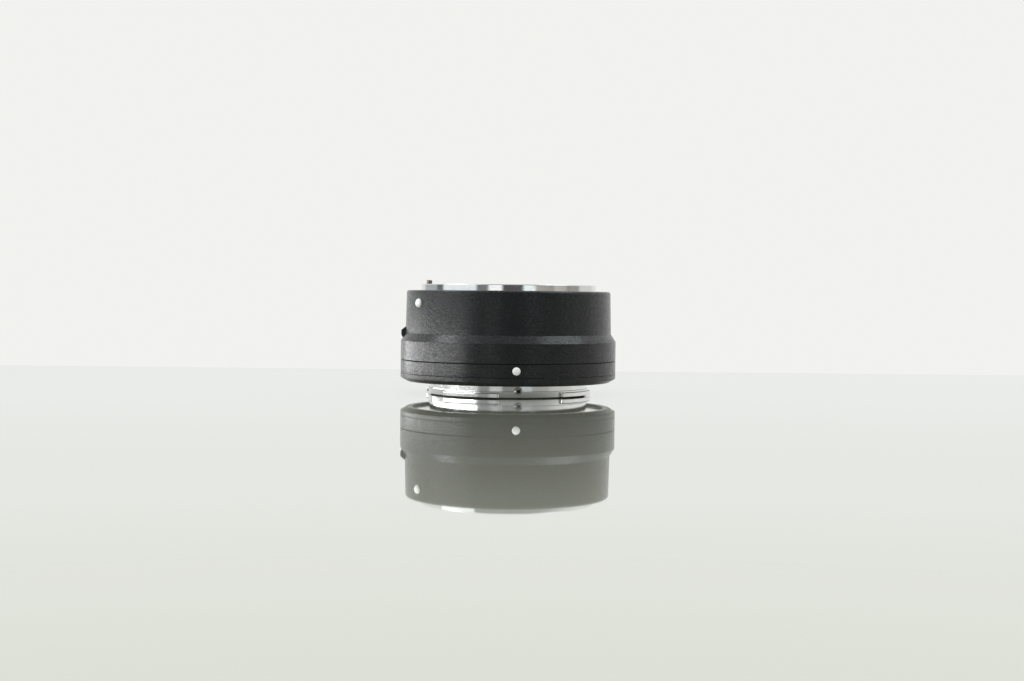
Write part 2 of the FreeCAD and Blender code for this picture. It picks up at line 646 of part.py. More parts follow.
def rear_barrel():
    body = revolved([
        (CAMERA_BORE_R + SLOT_SIDE_GAP, FLOOR_UNDER_Z),
        (CAMERA_FLANGE_R + FIT_GAP + CLOSE_GAP, FLOOR_UNDER_Z),
        (CAMERA_FLANGE_R + FIT_GAP + CLOSE_GAP, TRIM_TOP_Z),
        (BAND_R - TRIM_SEAM_DEPTH, TRIM_TOP_Z),
        (BAND_R, TRIM_TOP_Z + TRIM_SEAM_HALF_WIDTH),
        (BAND_R, SEAM_Z - SEAM_HALF_WIDTH),
        (BAND_R - SEAM_DEPTH, SEAM_Z),
        (BAND_BORE_R - CLOSE_GAP, SEAM_Z),
        (BAND_BORE_R - CLOSE_GAP, SPIGOT_TOP_Z),
        (BARREL_BORE_R, SPIGOT_TOP_Z),
        (BARREL_BORE_R, FLOOR_TOP_Z),
        (BAFFLE_R + FIT_GAP, FLOOR_TOP_Z),
        (BAFFLE_R + FIT_GAP, BAFFLE_Z),
        (CAMERA_BORE_R + SLOT_SIDE_GAP, BAFFLE_Z),
    ])
    pillars = [rod(BOSS_R, FLOOR_TOP_Z, BOSS_SPLIT_Z, BOSS_CIRCLE_R, theta) for theta in BOSS_THETAS]
    pillars += [rod(STANDOFF_R, FLOOR_TOP_Z, BOARD_Z, STANDOFF_CIRCLE_R, theta)
                for theta in standoff_thetas()]
    spigot_room = ring(BAND_BORE_R - CLOSE_GAP, BAND_R, SEAM_Z, BOSS_SPLIT_Z + MARGIN)
    body = fused([body] + pillars).cut(spigot_room)
    cuts = [assembly_screw_hole(theta) for theta in BOSS_THETAS]
    cuts += [camera_screw(theta, THREAD_GAP) for theta in CAMERA_GAP_CENTRES]
    cuts += [board_screw(theta, THREAD_GAP) for theta in standoff_thetas()]
    cuts += [ear_screw(theta, THREAD_GAP) for theta in EAR_THETAS]
    cuts.append(rod(MOTOR_R + CLOSE_GAP, MOTOR_Z, FLOOR_TOP_Z + MARGIN, PINION_CIRCLE_R, PINION_THETA))
    cuts.append(outward(dot_recess(CAMERA_DOT_R), BAND_R - DOT_RECESS, CAMERA_DOT_THETA, CAMERA_DOT_Z))
    return body.cut(cuts)


def rear_trim_ring():
    inner = CAMERA_FLANGE_R + FIT_GAP
    lip = CAMERA_FLANGE_R - CAMERA_FLANGE_STEP + FIT_GAP
    step_z = FLOOR_UNDER_Z - CAMERA_FLANGE_STEP_HEIGHT
    seat = CAMERA_FLANGE_R + 2 * FIT_GAP
    return revolved([
        (inner, TRIM_RIM_Z),
        (TRIM_RIM_R, TRIM_RIM_Z),
        (BAND_R, TRIM_SLOPE_TOP_Z),
        (BAND_R, TRIM_TOP_Z - TRIM_SEAM_HALF_WIDTH),
        (BAND_R - TRIM_SEAM_DEPTH, TRIM_TOP_Z),
        (seat, TRIM_TOP_Z),
        (seat, FLOOR_UNDER_Z),
        (lip, FLOOR_UNDER_Z),
        (lip, step_z),
        (inner, step_z),
    ])


def lens_screw_thetas():
    return [LENS_SCREW_FIRST + FULL_TURN * index / LENS_SCREW_COUNT for index in range(LENS_SCREW_COUNT)]


def lens_screw(theta, gap=0.0):
    return sunk_screw(LENS_FLANGE_Z, True, LENS_SCREW_LENGTH, LENS_SCREW_R, theta, gap)


def lens_mount_ring():
    outline = [
        (THROAT_R, LENS_SKIRT_Z),
        (LENS_SKIRT_R, LENS_SKIRT_Z),
        (LENS_SKIRT_R, LENS_SEAT_Z),
        (LENS_RING_R, LENS_SEAT_Z),
        (LENS_RING_R, LENS_FLANGE_Z - LENS_EDGE_CHAMFER),
        (LENS_RING_R - LENS_EDGE_CHAMFER, LENS_FLANGE_Z),
        (THROAT_R + LENS_EDGE_CHAMFER, LENS_FLANGE_Z),
        (THROAT_R, LENS_FLANGE_Z - LENS_EDGE_CHAMFER),
    ]
    tab = [
        (LENS_TAB_R, LENS_TAB_UNDER_Z),
        (THROAT_R + LENS_EDGE_CHAMFER, LENS_TAB_UNDER_Z),
        (THROAT_R + LENS_EDGE_CHAMFER, LENS_FLANGE_Z),
        (LENS_TAB_R + LENS_EDGE_CHAMFER, LENS_FLANGE_Z),
        (LENS_TAB_R, LENS_FLANGE_Z - LENS_EDGE_CHAMFER),
    ]
    tabs = [revolved(tab, LENS_TAB_WIDTH, centre) for centre in LENS_TAB_CENTRES]
    body = fused([revolved(outline)] + tabs)
    cuts = [lens_screw(theta, THREAD_GAP) for theta in lens_screw_thetas()]
    cuts += [leaf_screw(theta, THREAD_GAP) for theta in LENS_TAB_CENTRES]
    cuts.append(rod(PIN_R + FIT_GAP, LENS_SKIRT_Z, LENS_FLANGE_Z + MARGIN, PIN_CIRCLE_R, LOCK_THETA))
    return body.cut(cuts)


def lens_mount_screws():
    return group([lens_screw(theta) for theta in lens_screw_thetas()])


def leaf_circle_r():
    return (LENS_TAB_R + THROAT_R) / 2


def leaf_screw(theta, gap=0.0):
    seat = LENS_TAB_UNDER_Z - LEAF_THICKNESS
    return pan_screw(seat, True, LEAF_SCREW_HEAD_R + gap, LEAF_SCREW_HEAD_HEIGHT, LEAF_SCREW_SHANK_R + gap,
                     LEAF_SCREW_LENGTH + LEAF_THICKNESS + gap, leaf_circle_r(), theta)


def leaf_spring(theta):
    """Bowed strip, flat under its screw, that drops towards both ends and curls up at the tips."""
    top = LENS_TAB_UNDER_Z
    slope_end = LEAF_HALF_LENGTH - LEAF_TIP
    side = [(LEAF_FLAT, top), (slope_end, top - LEAF_DROP), (LEAF_HALF_LENGTH, top - LEAF_DROP / 2)]
    upper = [(-x, z) for x, z in reversed(side)] + side
    lower = [(x, z - LEAF_THICKNESS) for x, z in reversed(upper)]
    outer = leaf_circle_r() + LEAF_WIDTH / 2
    points = [FreeCAD.Vector(x, -outer - MARGIN, z) for x, z in upper + lower]
    side_face = Part.Face(Part.makePolygon(points + points[:1]))
    strip = side_face.extrude(FreeCAD.Vector(0, LEAF_WIDTH + 3 * MARGIN, 0))
    band = ring(outer - LEAF_WIDTH, outer, top - 3 * LEAF_DROP, top + MARGIN, LENS_TAB_WIDTH)
    hole = rod(LEAF_SCREW_SHANK_R + THREAD_GAP, top - 2 * MARGIN, top + MARGIN, leaf_circle_r())
    return turned(strip.common(band).cut(hole), theta)


def bayonet_leaf_springs():
    return group([leaf_spring(theta) for theta in LENS_TAB_CENTRES])


def leaf_spring_screws():
    return group([leaf_screw(theta) for theta in LENS_TAB_CENTRES])


def camera_screw(theta, gap=0.0):
    return sunk_screw(CAMERA_FLANGE_Z, False, CAMERA_SCREW_LENGTH, CAMERA_SCREW_R, theta, gap)


def camera_tab(centre):
    tab_top = CAMERA_TAB_LIFT + CAMERA_TAB_THICKNESS
    tab = ring(NECK_R, CAMERA_TAB_R, CAMERA_TAB_LIFT, tab_top, CAMERA_TAB_WIDTH)
    ends = []
    for edge in tab.Edges:
        first = edge.Vertexes[0].Point
        last = edge.Vertexes[-1].Point
        upright = abs(first.z - last.z) > CAMERA_TAB_THICKNESS / 2
        if upright and math.hypot(first.x, first.y) > PILOT_R:
            ends.append(edge)
    return turned(tab.makeFillet(CAMERA_TAB_ROUND, ends), centre)


def camera_mount():
    body = revolved([
        (CAMERA_BORE_R + CAMERA_BORE_CHAMFER, 0),
        (CAMERA_RIM_R, 0),
        (PILOT_R, CAMERA_TAB_LIFT),
        (PILOT_R, PILOT_HEIGHT),
        (NECK_R, PILOT_HEIGHT),
        (NECK_R, CAMERA_FLANGE_Z),
        (CAMERA_FLANGE_R - SEAM_HALF_WIDTH, CAMERA_FLANGE_Z),
        (CAMERA_FLANGE_R, CAMERA_FLANGE_Z + SEAM_HALF_WIDTH),
        (CAMERA_FLANGE_R, FLOOR_UNDER_Z - CAMERA_FLANGE_STEP_HEIGHT),
        (CAMERA_FLANGE_R - CAMERA_FLANGE_STEP, FLOOR_UNDER_Z - CAMERA_FLANGE_STEP_HEIGHT),
        (CAMERA_FLANGE_R - CAMERA_FLANGE_STEP, FLOOR_UNDER_Z),
        (CAMERA_BORE_R, FLOOR_UNDER_Z),
        (CAMERA_BORE_R, CAMERA_BORE_CHAMFER),
    ])
    body = fused([body] + [camera_tab(centre) for centre in CAMERA_TAB_CENTRES])
    seat = Part.makeCylinder(STOP_HEAD_R + FIT_GAP, 2 * MARGIN + PILOT_R - STOP_SEAT_R,
                             FreeCAD.Vector(0, -STOP_SEAT_R, STOP_HEIGHT), FreeCAD.Vector(0, -1, 0))
    hole = Part.makeCylinder(STOP_SHANK_R + THREAD_GAP, PILOT_R - CAMERA_BORE_R + 2 * MARGIN,
                             FreeCAD.Vector(0, MARGIN - CAMERA_BORE_R, STOP_HEIGHT), FreeCAD.Vector(0, -1, 0))
    cuts = [turned(seat, STOP_THETA), turned(hole, STOP_THETA)]
    cuts += [camera_screw(theta, THREAD_GAP) for theta in CAMERA_GAP_CENTRES]
    return body.cut(cuts)


def camera_mount_screws():
    return group([camera_screw(theta) for theta in CAMERA_GAP_CENTRES])


def bayonet_stop_screw():
    """Socket screw along a radius: its head stands out of the gap between two tabs."""
    shank_length = STOP_SEAT_R - CAMERA_BORE_R - FIT_GAP
    shank = rod(STOP_SHANK_R, -shank_length, 0)
    head = rod(STOP_HEAD_R, 0, STOP_HEAD_HEIGHT)
    rim = [edge for edge in head.Edges if abs(edge.BoundBox.ZMin - STOP_HEAD_HEIGHT) < CLOSE_GAP]
    head = head.makeChamfer(SEAM_HALF_WIDTH, rim)
    socket = rod(STOP_SOCKET_R, STOP_HEAD_HEIGHT - STOP_SOCKET_DEPTH, STOP_HEAD_HEIGHT + MARGIN)
    return outward(fused([shank, head]).cut(socket), STOP_SEAT_R, STOP_THETA, STOP_HEIGHT)


def ear_screw(theta, gap=0.0):
    return pan_screw(FLOOR_TOP_Z + EAR_THICKNESS, False, EAR_SCREW_HEAD_R, EAR_SCREW_HEAD_HEIGHT,
                     EAR_SCREW_SHANK_R + gap, EAR_SCREW_LENGTH + gap, EAR_SCREW_R, theta)


def sleeve_screws():
    return group([ear_screw(theta) for theta in EAR_THETAS])


def inner_sleeve():
    """Throat tube with light-trapping ribs, screw ears, a contact shelf and the aperture ring's seat."""
    groove_r = SLEEVE_TOP_OUTER_R - RETAINER_GROOVE_DEPTH
    outline = [
        (SLEEVE_BORE_R, FLOOR_TOP_Z),
        (SLEEVE_FOOT_OUTER_R, FLOOR_TOP_Z),
        (SLEEVE_FOOT_OUTER_R, SLEEVE_SHOULDER_Z),
        (SLEEVE_TOP_OUTER_R, SLEEVE_SHOULDER_Z),
        (SLEEVE_TOP_OUTER_R, RETAINER_Z - THREAD_GAP),
        (groove_r, RETAINER_Z - THREAD_GAP),
        (groove_r, RETAINER_Z + RETAINER_THICKNESS + THREAD_GAP),
        (SLEEVE_TOP_OUTER_R, RETAINER_Z + RETAINER_THICKNESS + THREAD_GAP),
        (SLEEVE_TOP_OUTER_R, LENS_SKIRT_Z),
        (SLEEVE_BORE_R, LENS_SKIRT_Z),
    ]
    first = FLOOR_TOP_Z + RIB_FIRST_HEIGHT
    for index in reversed(range(RIB_COUNT)):
        foot = first + index * RIB_PITCH
        outline += [(SLEEVE_BORE_R, foot + RIB_PITCH), (SLEEVE_BORE_R + RIB_DEPTH, foot + RIB_PITCH / 2)]
    outline.append((SLEEVE_BORE_R, first))
    ears = [ring(SLEEVE_BORE_R + RIB_DEPTH, EAR_R, FLOOR_TOP_Z, FLOOR_TOP_Z + EAR_THICKNESS,
                 math.degrees(EAR_WIDTH / EAR_R), theta) for theta in EAR_THETAS]
    shelf = ring(SHELF_INNER_R, SLEEVE_BORE_R + RIB_DEPTH, SHELF_Z, SLEEVE_SHOULDER_Z,
                 2 * (CONTACT_HALF_ANGLE + 1))
    body = fused([revolved(outline)] + ears + [shelf])
    ribbon_room = RIBBON_WIDTH + 2 * MOVING_GAP
    slot_turn = APERTURE_TRAVEL + 2 * LEVER_SLOT_MARGIN
    cuts = [ear_screw(theta, THREAD_GAP) for theta in EAR_THETAS]
    cuts += [contact_block_screw(theta, THREAD_GAP) for theta in block_screw_thetas()]
    cuts.append(ring(TAIL_INNER_R - FIT_GAP, TAIL_OUTER_R + FIT_GAP, SHELF_Z - MARGIN,
                     SLEEVE_SHOULDER_Z + MARGIN, 2 * TAIL_HALF_ANGLE + 1))
    cuts.append(block(ribbon_room, SLEEVE_BORE_R - MARGIN, RIBBON_R + MARGIN,
                      TAIL_Z - RIBBON_THICKNESS - MOVING_GAP, TAIL_Z + FIT_GAP))
    cuts.append(block(ribbon_room, SLEEVE_BORE_R - MARGIN, RIBBON_R + MARGIN,
                      BOARD_Z - RIBBON_THICKNESS - MOVING_GAP, BOARD_Z + FIT_GAP))
    cuts.append(ring(SLEEVE_BORE_R - MARGIN, SLEEVE_TOP_OUTER_R + MARGIN, SLEEVE_SHOULDER_Z,
                     APERTURE_RING_TOP_Z, slot_turn, LEVER_THETA + APERTURE_TRAVEL / 2))
    return body.cut(cuts)


def light_baffle():
    """Plate with a rounded oblong window and a slit for the rear ribbon."""
    plate = rod(BAFFLE_R, BAFFLE_Z, FLOOR_TOP_Z)
    corner = FreeCAD.Vector(-WINDOW_WIDTH / 2, -WINDOW_HEIGHT / 2, BAFFLE_Z - MARGIN)
    window = Part.makeBox(WINDOW_WIDTH, WINDOW_HEIGHT, BAFFLE_THICKNESS + 2 * MARGIN, corner)
    uprights = [edge for edge in window.Edges if edge.BoundBox.ZLength > BAFFLE_THICKNESS]
    cuts = [window.makeFillet(WINDOW_CORNER_R, uprights)]
    cuts.append(block(RIBBON_WIDTH + 2 * FIT_GAP, REAR_RIBBON_R - RIBBON_THICKNESS - FIT_GAP,
                      REAR_RIBBON_R + FIT_GAP, BAFFLE_Z - MARGIN, FLOOR_TOP_Z + MARGIN))
    cuts += [camera_block_screw(theta, THREAD_GAP) for theta in block_screw_thetas()]
    return plate.cut(cuts)


def block_screw_thetas():
    return (-BLOCK_SCREW_THETA, BLOCK_SCREW_THETA)


def contact_block_screw(theta, gap=0.0):
    seat = CONTACT_TOP_Z - BLOCK_SCREW_SINK - BLOCK_SCREW_HEAD_HEIGHT
    length = seat - SLEEVE_SHOULDER_Z + BLOCK_SCREW_BITE
    return pan_screw(seat, False, BLOCK_SCREW_HEAD_R + gap, BLOCK_SCREW_HEAD_HEIGHT,
                     BLOCK_SCREW_SHANK_R + gap, length + gap, CONTACT_CIRCLE_R, theta)


def contact_block_screws():
    return group([contact_block_screw(theta) for theta in block_screw_thetas()])


def contact_thetas():
    return spread(CONTACT_COUNT, CONTACT_PITCH)


def lens_contact_block():
    """Moulded arc that carries the sprung pins, with a tail through the sleeve's shelf."""
    arc = ring(CONTACT_INNER_R, CONTACT_OUTER_R, SLEEVE_SHOULDER_Z, CONTACT_TOP_Z, 2 * CONTACT_HALF_ANGLE)
    tail = ring(TAIL_INNER_R, TAIL_OUTER_R, TAIL_Z, SLEEVE_SHOULDER_Z + MARGIN, 2 * TAIL_HALF_ANGLE)
    cuts = []
    for theta in contact_thetas():
        cuts.append(rod(CONTACT_COLLAR_R + CLOSE_GAP, SLEEVE_SHOULDER_Z + CONTACT_WELL_FLOOR, CONTACT_LID_Z,
                        CONTACT_CIRCLE_R, theta))
        cuts.append(rod(CONTACT_PIN_R + CLOSE_GAP, CONTACT_LID_Z, CONTACT_TOP_Z + MARGIN,
                        CONTACT_CIRCLE_R, theta))
    for theta in block_screw_thetas():
        cuts.append(contact_block_screw(theta, THREAD_GAP))
        cuts.append(rod(BLOCK_SCREW_HEAD_R + THREAD_GAP, CONTACT_TOP_Z - BLOCK_SCREW_SINK - CLOSE_GAP,
                        CONTACT_TOP_Z + MARGIN, CONTACT_CIRCLE_R, theta))
    return fused([arc, tail]).cut(cuts)


def contact_pin(theta):
    """Round-nosed pin with the collar that stops it under the block's lid."""
    collar_top = CONTACT_LID_Z - CLOSE_GAP
    shank = rod(CONTACT_PIN_R, collar_top - CONTACT_COLLAR_HEIGHT, CONTACT_TOP_Z + CONTACT_PIN_PROUD,
                CONTACT_CIRCLE_R, theta)
    nose = [edge for edge in shank.Edges
            if abs(edge.BoundBox.ZMin - CONTACT_TOP_Z - CONTACT_PIN_PROUD) < CLOSE_GAP]
    shank = shank.makeFillet(CONTACT_PIN_ROUND, nose)
    collar = rod(CONTACT_COLLAR_R, collar_top - CONTACT_COLLAR_HEIGHT, collar_top, CONTACT_CIRCLE_R, theta)
    return fused([shank, collar])


def lens_contact_pins():
    return group([contact_pin(theta) for theta in contact_thetas()])


def lens_contact_springs():
    low = SLEEVE_SHOULDER_Z + CONTACT_WELL_FLOOR
    high = CONTACT_LID_Z - CLOSE_GAP - CONTACT_COLLAR_HEIGHT
    coil_r = CONTACT_COLLAR_R - CONTACT_WIRE_R - CLOSE_GAP
    return group([coil(CONTACT_WIRE_R, coil_r, CONTACT_COIL_TURNS, low, high, CONTACT_CIRCLE_R, theta)
                  for theta in contact_thetas()])


def camera_block_screw(theta, gap=0.0):
    seat = CAMERA_BLOCK_LIFT + BLOCK_SCREW_SINK + BLOCK_SCREW_HEAD_HEIGHT
    return pan_screw(seat, True, BLOCK_SCREW_HEAD_R + gap, BLOCK_SCREW_HEAD_HEIGHT,
                     BLOCK_SCREW_SHANK_R + gap, FLOOR_TOP_Z - seat - FIT_GAP + gap, PAD_CIRCLE_R, theta)


def camera_block_screws():
    return group([camera_block_screw(theta) for theta in block_screw_thetas()])


def contact_pad(theta):
    return block(PAD_WIDTH, PAD_CIRCLE_R - PAD_LENGTH / 2, PAD_CIRCLE_R + PAD_LENGTH / 2,
                 CAMERA_BLOCK_LIFT - PAD_PROUD, CAMERA_BLOCK_LIFT - PAD_PROUD + PAD_THICKNESS, theta)


def camera_contact_pads():
    return group([contact_pad(theta) for theta in spread(PAD_COUNT, PAD_PITCH)])


def camera_contact_block():
    arc = ring(CAMERA_BLOCK_INNER_R, CAMERA_BLOCK_OUTER_R, CAMERA_BLOCK_LIFT, BAFFLE_Z,
               2 * CAMERA_BLOCK_HALF_ANGLE)
    cuts = [contact_pad(theta) for theta in spread(PAD_COUNT, PAD_PITCH)]
    for theta in block_screw_thetas():
        cuts.append(camera_block_screw(theta, THREAD_GAP))
        cuts.append(rod(BLOCK_SCREW_HEAD_R + THREAD_GAP, CAMERA_BLOCK_LIFT - MARGIN,
                        CAMERA_BLOCK_LIFT + BLOCK_SCREW_SINK + CLOSE_GAP, PAD_CIRCLE_R, theta))
    return arc.cut(cuts)


def standoff_thetas():
    return (-STANDOFF_THETA, STANDOFF_THETA)


def board_screw(theta, gap=0.0):
    return pan_screw(BOARD_TOP_Z, False, BOARD_SCREW_HEAD_R, BOARD_SCREW_HEAD_HEIGHT,
                     BOARD_SCREW_SHANK_R + gap, BOARD_SCREW_BITE + gap, STANDOFF_CIRCLE_R, theta)


def board_screws():
    return group([board_screw(theta) for theta in standoff_thetas()])


def circuit_board():
    board = ring(BOARD_INNER_R, BOARD_OUTER_R, BOARD_Z, BOARD_TOP_Z, 2 * BOARD_HALF_ANGLE)
    return board.cut([board_screw(theta, THREAD_GAP) for theta in standoff_thetas()])


def board_chips():
    """Two square chips and the socket that the lens side ribbon is pressed into."""
    chips = [block(CHIP_SIZE, CHIP_CIRCLE_R - CHIP_SIZE / 2, CHIP_CIRCLE_R + CHIP_SIZE / 2,
                   BOARD_TOP_Z, BOARD_TOP_Z + CHIP_HEIGHT, theta) for theta in CHIP_THETAS]
    socket_inner = RIBBON_R + RIBBON_THICKNESS
    chips.append(block(SOCKET_WIDTH, socket_inner, socket_inner + SOCKET_DEPTH, BOARD_TOP_Z,
                       BOARD_TOP_Z + SOCKET_HEIGHT))
    return group(chips)


def bent_ribbon(side):
    """Flat ribbon from its side outline of (radius, z) points, centred on theta zero."""
    points = [FreeCAD.Vector(-RIBBON_WIDTH / 2, -radius, z) for radius, z in side]
    return Part.Face(Part.makePolygon(points + points[:1])).extrude(FreeCAD.Vector(RIBBON_WIDTH, 0, 0))


def lens_flex_cable():
    outer = RIBBON_R + RIBBON_THICKNESS
    under = TAIL_Z - RIBBON_THICKNESS
    return bent_ribbon([(RIBBON_R, BOARD_TOP_Z), (outer, BOARD_TOP_Z), (outer, TAIL_Z),
                        (RIBBON_INNER_R, TAIL_Z), (RIBBON_INNER_R, under), (RIBBON_R, under)])


def camera_flex_cable():
    inner = REAR_RIBBON_R - RIBBON_THICKNESS
    under = BOARD_Z - RIBBON_THICKNESS
    return bent_ribbon([(inner, BAFFLE_Z), (REAR_RIBBON_R, BAFFLE_Z), (REAR_RIBBON_R, under),
                        (REAR_RIBBON_OUTER_R, under), (REAR_RIBBON_OUTER_R, BOARD_Z), (inner, BOARD_Z)])


def knob():
    outline = [
        (KNOB_INNER_R, KNOB_BOTTOM_Z),
        (KNOB_LIP_R - (KNOB_LIP_Z - KNOB_BOTTOM_Z), KNOB_BOTTOM_Z),
        (KNOB_LIP_R, KNOB_LIP_Z),
        (KNOB_OUTER_R, KNOB_EDGE_Z),
    ]
    for share in KNOB_GROOVE_SHARES:
        centre = KNOB_EDGE_Z + share * (KNOB_SLOPE_Z - KNOB_EDGE_Z)
        outline += [(KNOB_OUTER_R, centre - KNOB_GROOVE_DEPTH), (KNOB_OUTER_R - KNOB_GROOVE_DEPTH, centre),
                    (KNOB_OUTER_R, centre + KNOB_GROOVE_DEPTH)]
    outline += [(KNOB_OUTER_R, KNOB_SLOPE_Z), (BARREL_FOOT_R, KNOB_TOP_Z), (KNOB_INNER_R, KNOB_TOP_Z)]
    cap = revolved(outline, math.degrees(KNOB_WIDTH / KNOB_OUTER_R), LOCK_THETA)
    stem = block(STEM_WIDTH, CARRIER_OUTER_R, KNOB_INNER_R + FIT_GAP, STEM_LOW_Z, STEM_TOP_Z, LOCK_THETA)
    return fused([cap, stem]).cut(knob_screw(THREAD_GAP))


def knob_screw(gap=0.0):
    """Screw through the carrier's arm into the knob's stem."""
    shank = rod(KNOB_SCREW_R + gap, 0, KNOB_SCREW_LENGTH + gap)
    head = rod(KNOB_SCREW_HEAD_R, -KNOB_SCREW_HEAD_HEIGHT, 0)
    return outward(fused([shank, head]), CARRIER_ARM_R, LOCK_THETA, (STEM_LOW_Z + STEM_TOP_Z) / 2)


def lock_carrier():
    """Bent steel strip: an arm behind the knob and a foot under the lock pin."""
    arm = block(CARRIER_WIDTH, CARRIER_ARM_R, CARRIER_OUTER_R, STEM_LOW_Z - MARGIN, CARRIER_TOP_Z, LOCK_THETA)
    foot = block(CARRIER_WIDTH, CARRIER_INNER_R, CARRIER_OUTER_R, CARRIER_FOOT_Z, CARRIER_TOP_Z, LOCK_THETA)
    rod_hole = rod(ROD_R + CLOSE_GAP, CARRIER_FOOT_Z - MARGIN, CARRIER_TOP_Z + MARGIN,
                   ROD_CIRCLE_R, LOCK_THETA)
    return fused([arm, foot]).cut([rod_hole, knob_screw(THREAD_GAP)])


def lock_pin():
    tip = LENS_FLANGE_Z + PIN_PROUD
    collar_top = LENS_SEAT_Z - FIT_GAP
    shank = rod(PIN_R, CARRIER_TOP_Z, tip - PIN_TIP_CHAMFER, PIN_CIRCLE_R, LOCK_THETA)
    nose = cone(PIN_R, PIN_R - PIN_TIP_CHAMFER, tip - PIN_TIP_CHAMFER, tip, PIN_CIRCLE_R, LOCK_THETA)
    collar = rod(PIN_COLLAR_R, collar_top - PIN_COLLAR_HEIGHT, collar_top, PIN_CIRCLE_R, LOCK_THETA)
    return fused([shank, nose, collar])


def guide_rod():
    shaft = rod(ROD_R, FLOOR_TOP_Z, DECK_UNDER_Z + ROD_SEAT_DEPTH, ROD_CIRCLE_R, LOCK_THETA)
    collar = rod(ROD_COLLAR_R, ROD_COLLAR_TOP_Z - ROD_COLLAR_HEIGHT, ROD_COLLAR_TOP_Z, ROD_CIRCLE_R,
                 LOCK_THETA)
    return fused([shaft, collar])


def lock_spring():
    return coil(LOCK_WIRE_R, LOCK_COIL_R, LOCK_COIL_TURNS, ROD_COLLAR_TOP_Z, CARRIER_FOOT_Z,
                ROD_CIRCLE_R, LOCK_THETA)


def flank_angle(radius, teeth):
    """Half the angle that a tooth takes up at a radius, for an involute flank with backlash."""
    pitch_r = GEAR_MODULE * teeth / 2
    pressure = math.radians(PRESSURE_ANGLE)
    base_r = pitch_r * math.cos(pressure)
    here = math.acos(min(1.0, base_r / radius))
    involute_pitch = math.tan(pressure) - pressure
    involute_here = math.tan(here) - here
    half_tooth = (math.pi * GEAR_MODULE / 2 - TOOTH_BACKLASH) / (2 * pitch_r)
    return half_tooth + involute_pitch - involute_here


def tooth(teeth, root_r):
    """Corners of one tooth centred on theta zero, as (radius, angle in degrees)."""
    pitch_r = GEAR_MODULE * teeth / 2
    base_r = pitch_r * math.cos(math.radians(PRESSURE_ANGLE))
    tip_r = pitch_r + GEAR_MODULE
    foot_r = max(root_r, base_r)
    radii = [foot_r + (tip_r - foot_r) * index / FLANK_STEPS for index in range(FLANK_STEPS + 1)]
    flank = [(root_r, math.degrees(flank_angle(foot_r, teeth)))]
    flank += [(radius, math.degrees(flank_angle(radius, teeth))) for radius in radii if radius > root_r]
    return [(radius, -angle) for radius, angle in flank] + list(reversed(flank))


def toothed_sector(teeth, root_r, count, first, low, high):
    """Prism of a run of teeth, down to a little under their root."""
    pitch = FULL_TURN / teeth
    corners = []
    for index in range(count):
        corners += [(radius, angle + first + index * pitch) for radius, angle in tooth(teeth, root_r)]
    if count < teeth:
        corners += [(root_r - CLOSE_GAP, corners[-1][1]), (root_r - CLOSE_GAP, corners[0][1])]
    points = [polar(radius, angle, low) for radius, angle in corners]
    return Part.Face(Part.makePolygon(points + points[:1])).extrude(FreeCAD.Vector(0, 0, high - low))


def aperture_ring():
    """Ring that turns on the sleeve, with a run of gear teeth where the pinion reaches it."""
    pitch = FULL_TURN / RING_TEETH
    after = math.ceil(SECTOR_MARGIN / pitch)
    before = math.ceil((APERTURE_TRAVEL + SECTOR_MARGIN) / pitch)
    hoop = ring(APERTURE_BORE_R, RING_ROOT_R, APERTURE_RING_Z, APERTURE_RING_TOP_Z)
    teeth = toothed_sector(RING_TEETH, RING_ROOT_R, before + after + 1, PINION_THETA - before * pitch,
                           APERTURE_RING_Z, APERTURE_RING_TOP_Z)
    rim = ring(RING_ROOT_R - 4 * CLOSE_GAP, RING_ROOT_R - CLOSE_GAP / 2, APERTURE_RING_Z,
               APERTURE_RING_TOP_Z, (before + after + 2) * pitch,
               PINION_THETA - (before - after) * pitch / 2)
    seat = block(LEVER_WIDTH + 2 * THREAD_GAP, APERTURE_BORE_R - MARGIN, APERTURE_BORE_R + LEVER_SEAT_DEPTH,
                 LEVER_Z, APERTURE_RING_TOP_Z + MARGIN, LEVER_THETA)
    return fused([hoop, rim, teeth]).cut(seat)


def aperture_lever():
    """Bent lever: its arm reaches in through the sleeve and its finger stands up in the throat."""
    arm = block(LEVER_WIDTH, LEVER_INNER_R, APERTURE_BORE_R + LEVER_SEAT_DEPTH - THREAD_GAP, LEVER_Z,
                LEVER_Z + LEVER_THICKNESS, LEVER_THETA)
    finger = block(LEVER_WIDTH, LEVER_INNER_R, LEVER_INNER_R + LEVER_FINGER_DEPTH, LEVER_Z, LEVER_TOP_Z,
                   LEVER_THETA)
    return fused([arm, finger])


def aperture_retainer():
    return ring(SLEEVE_TOP_OUTER_R - RETAINER_GROOVE_DEPTH + CLOSE_GAP, RETAINER_R, RETAINER_Z,
                RETAINER_Z + RETAINER_THICKNESS, FULL_TURN - RETAINER_OPENING, 0)


def aperture_motor():
    can = rod(MOTOR_R, MOTOR_Z, MOTOR_TOP_Z, PINION_CIRCLE_R, PINION_THETA)
    nose = rod(MOTOR_NOSE_R, MOTOR_TOP_Z, MOTOR_TOP_Z + MOTOR_NOSE_HEIGHT, PINION_CIRCLE_R, PINION_THETA)
    bearing = rod(MOTOR_SHAFT_R + CLOSE_GAP, MOTOR_TOP_Z - MOTOR_SHAFT_DEPTH - CLOSE_GAP,
                  MOTOR_TOP_Z + 2 * MARGIN, PINION_CIRCLE_R, PINION_THETA)
    return fused([can, nose]).cut(bearing)


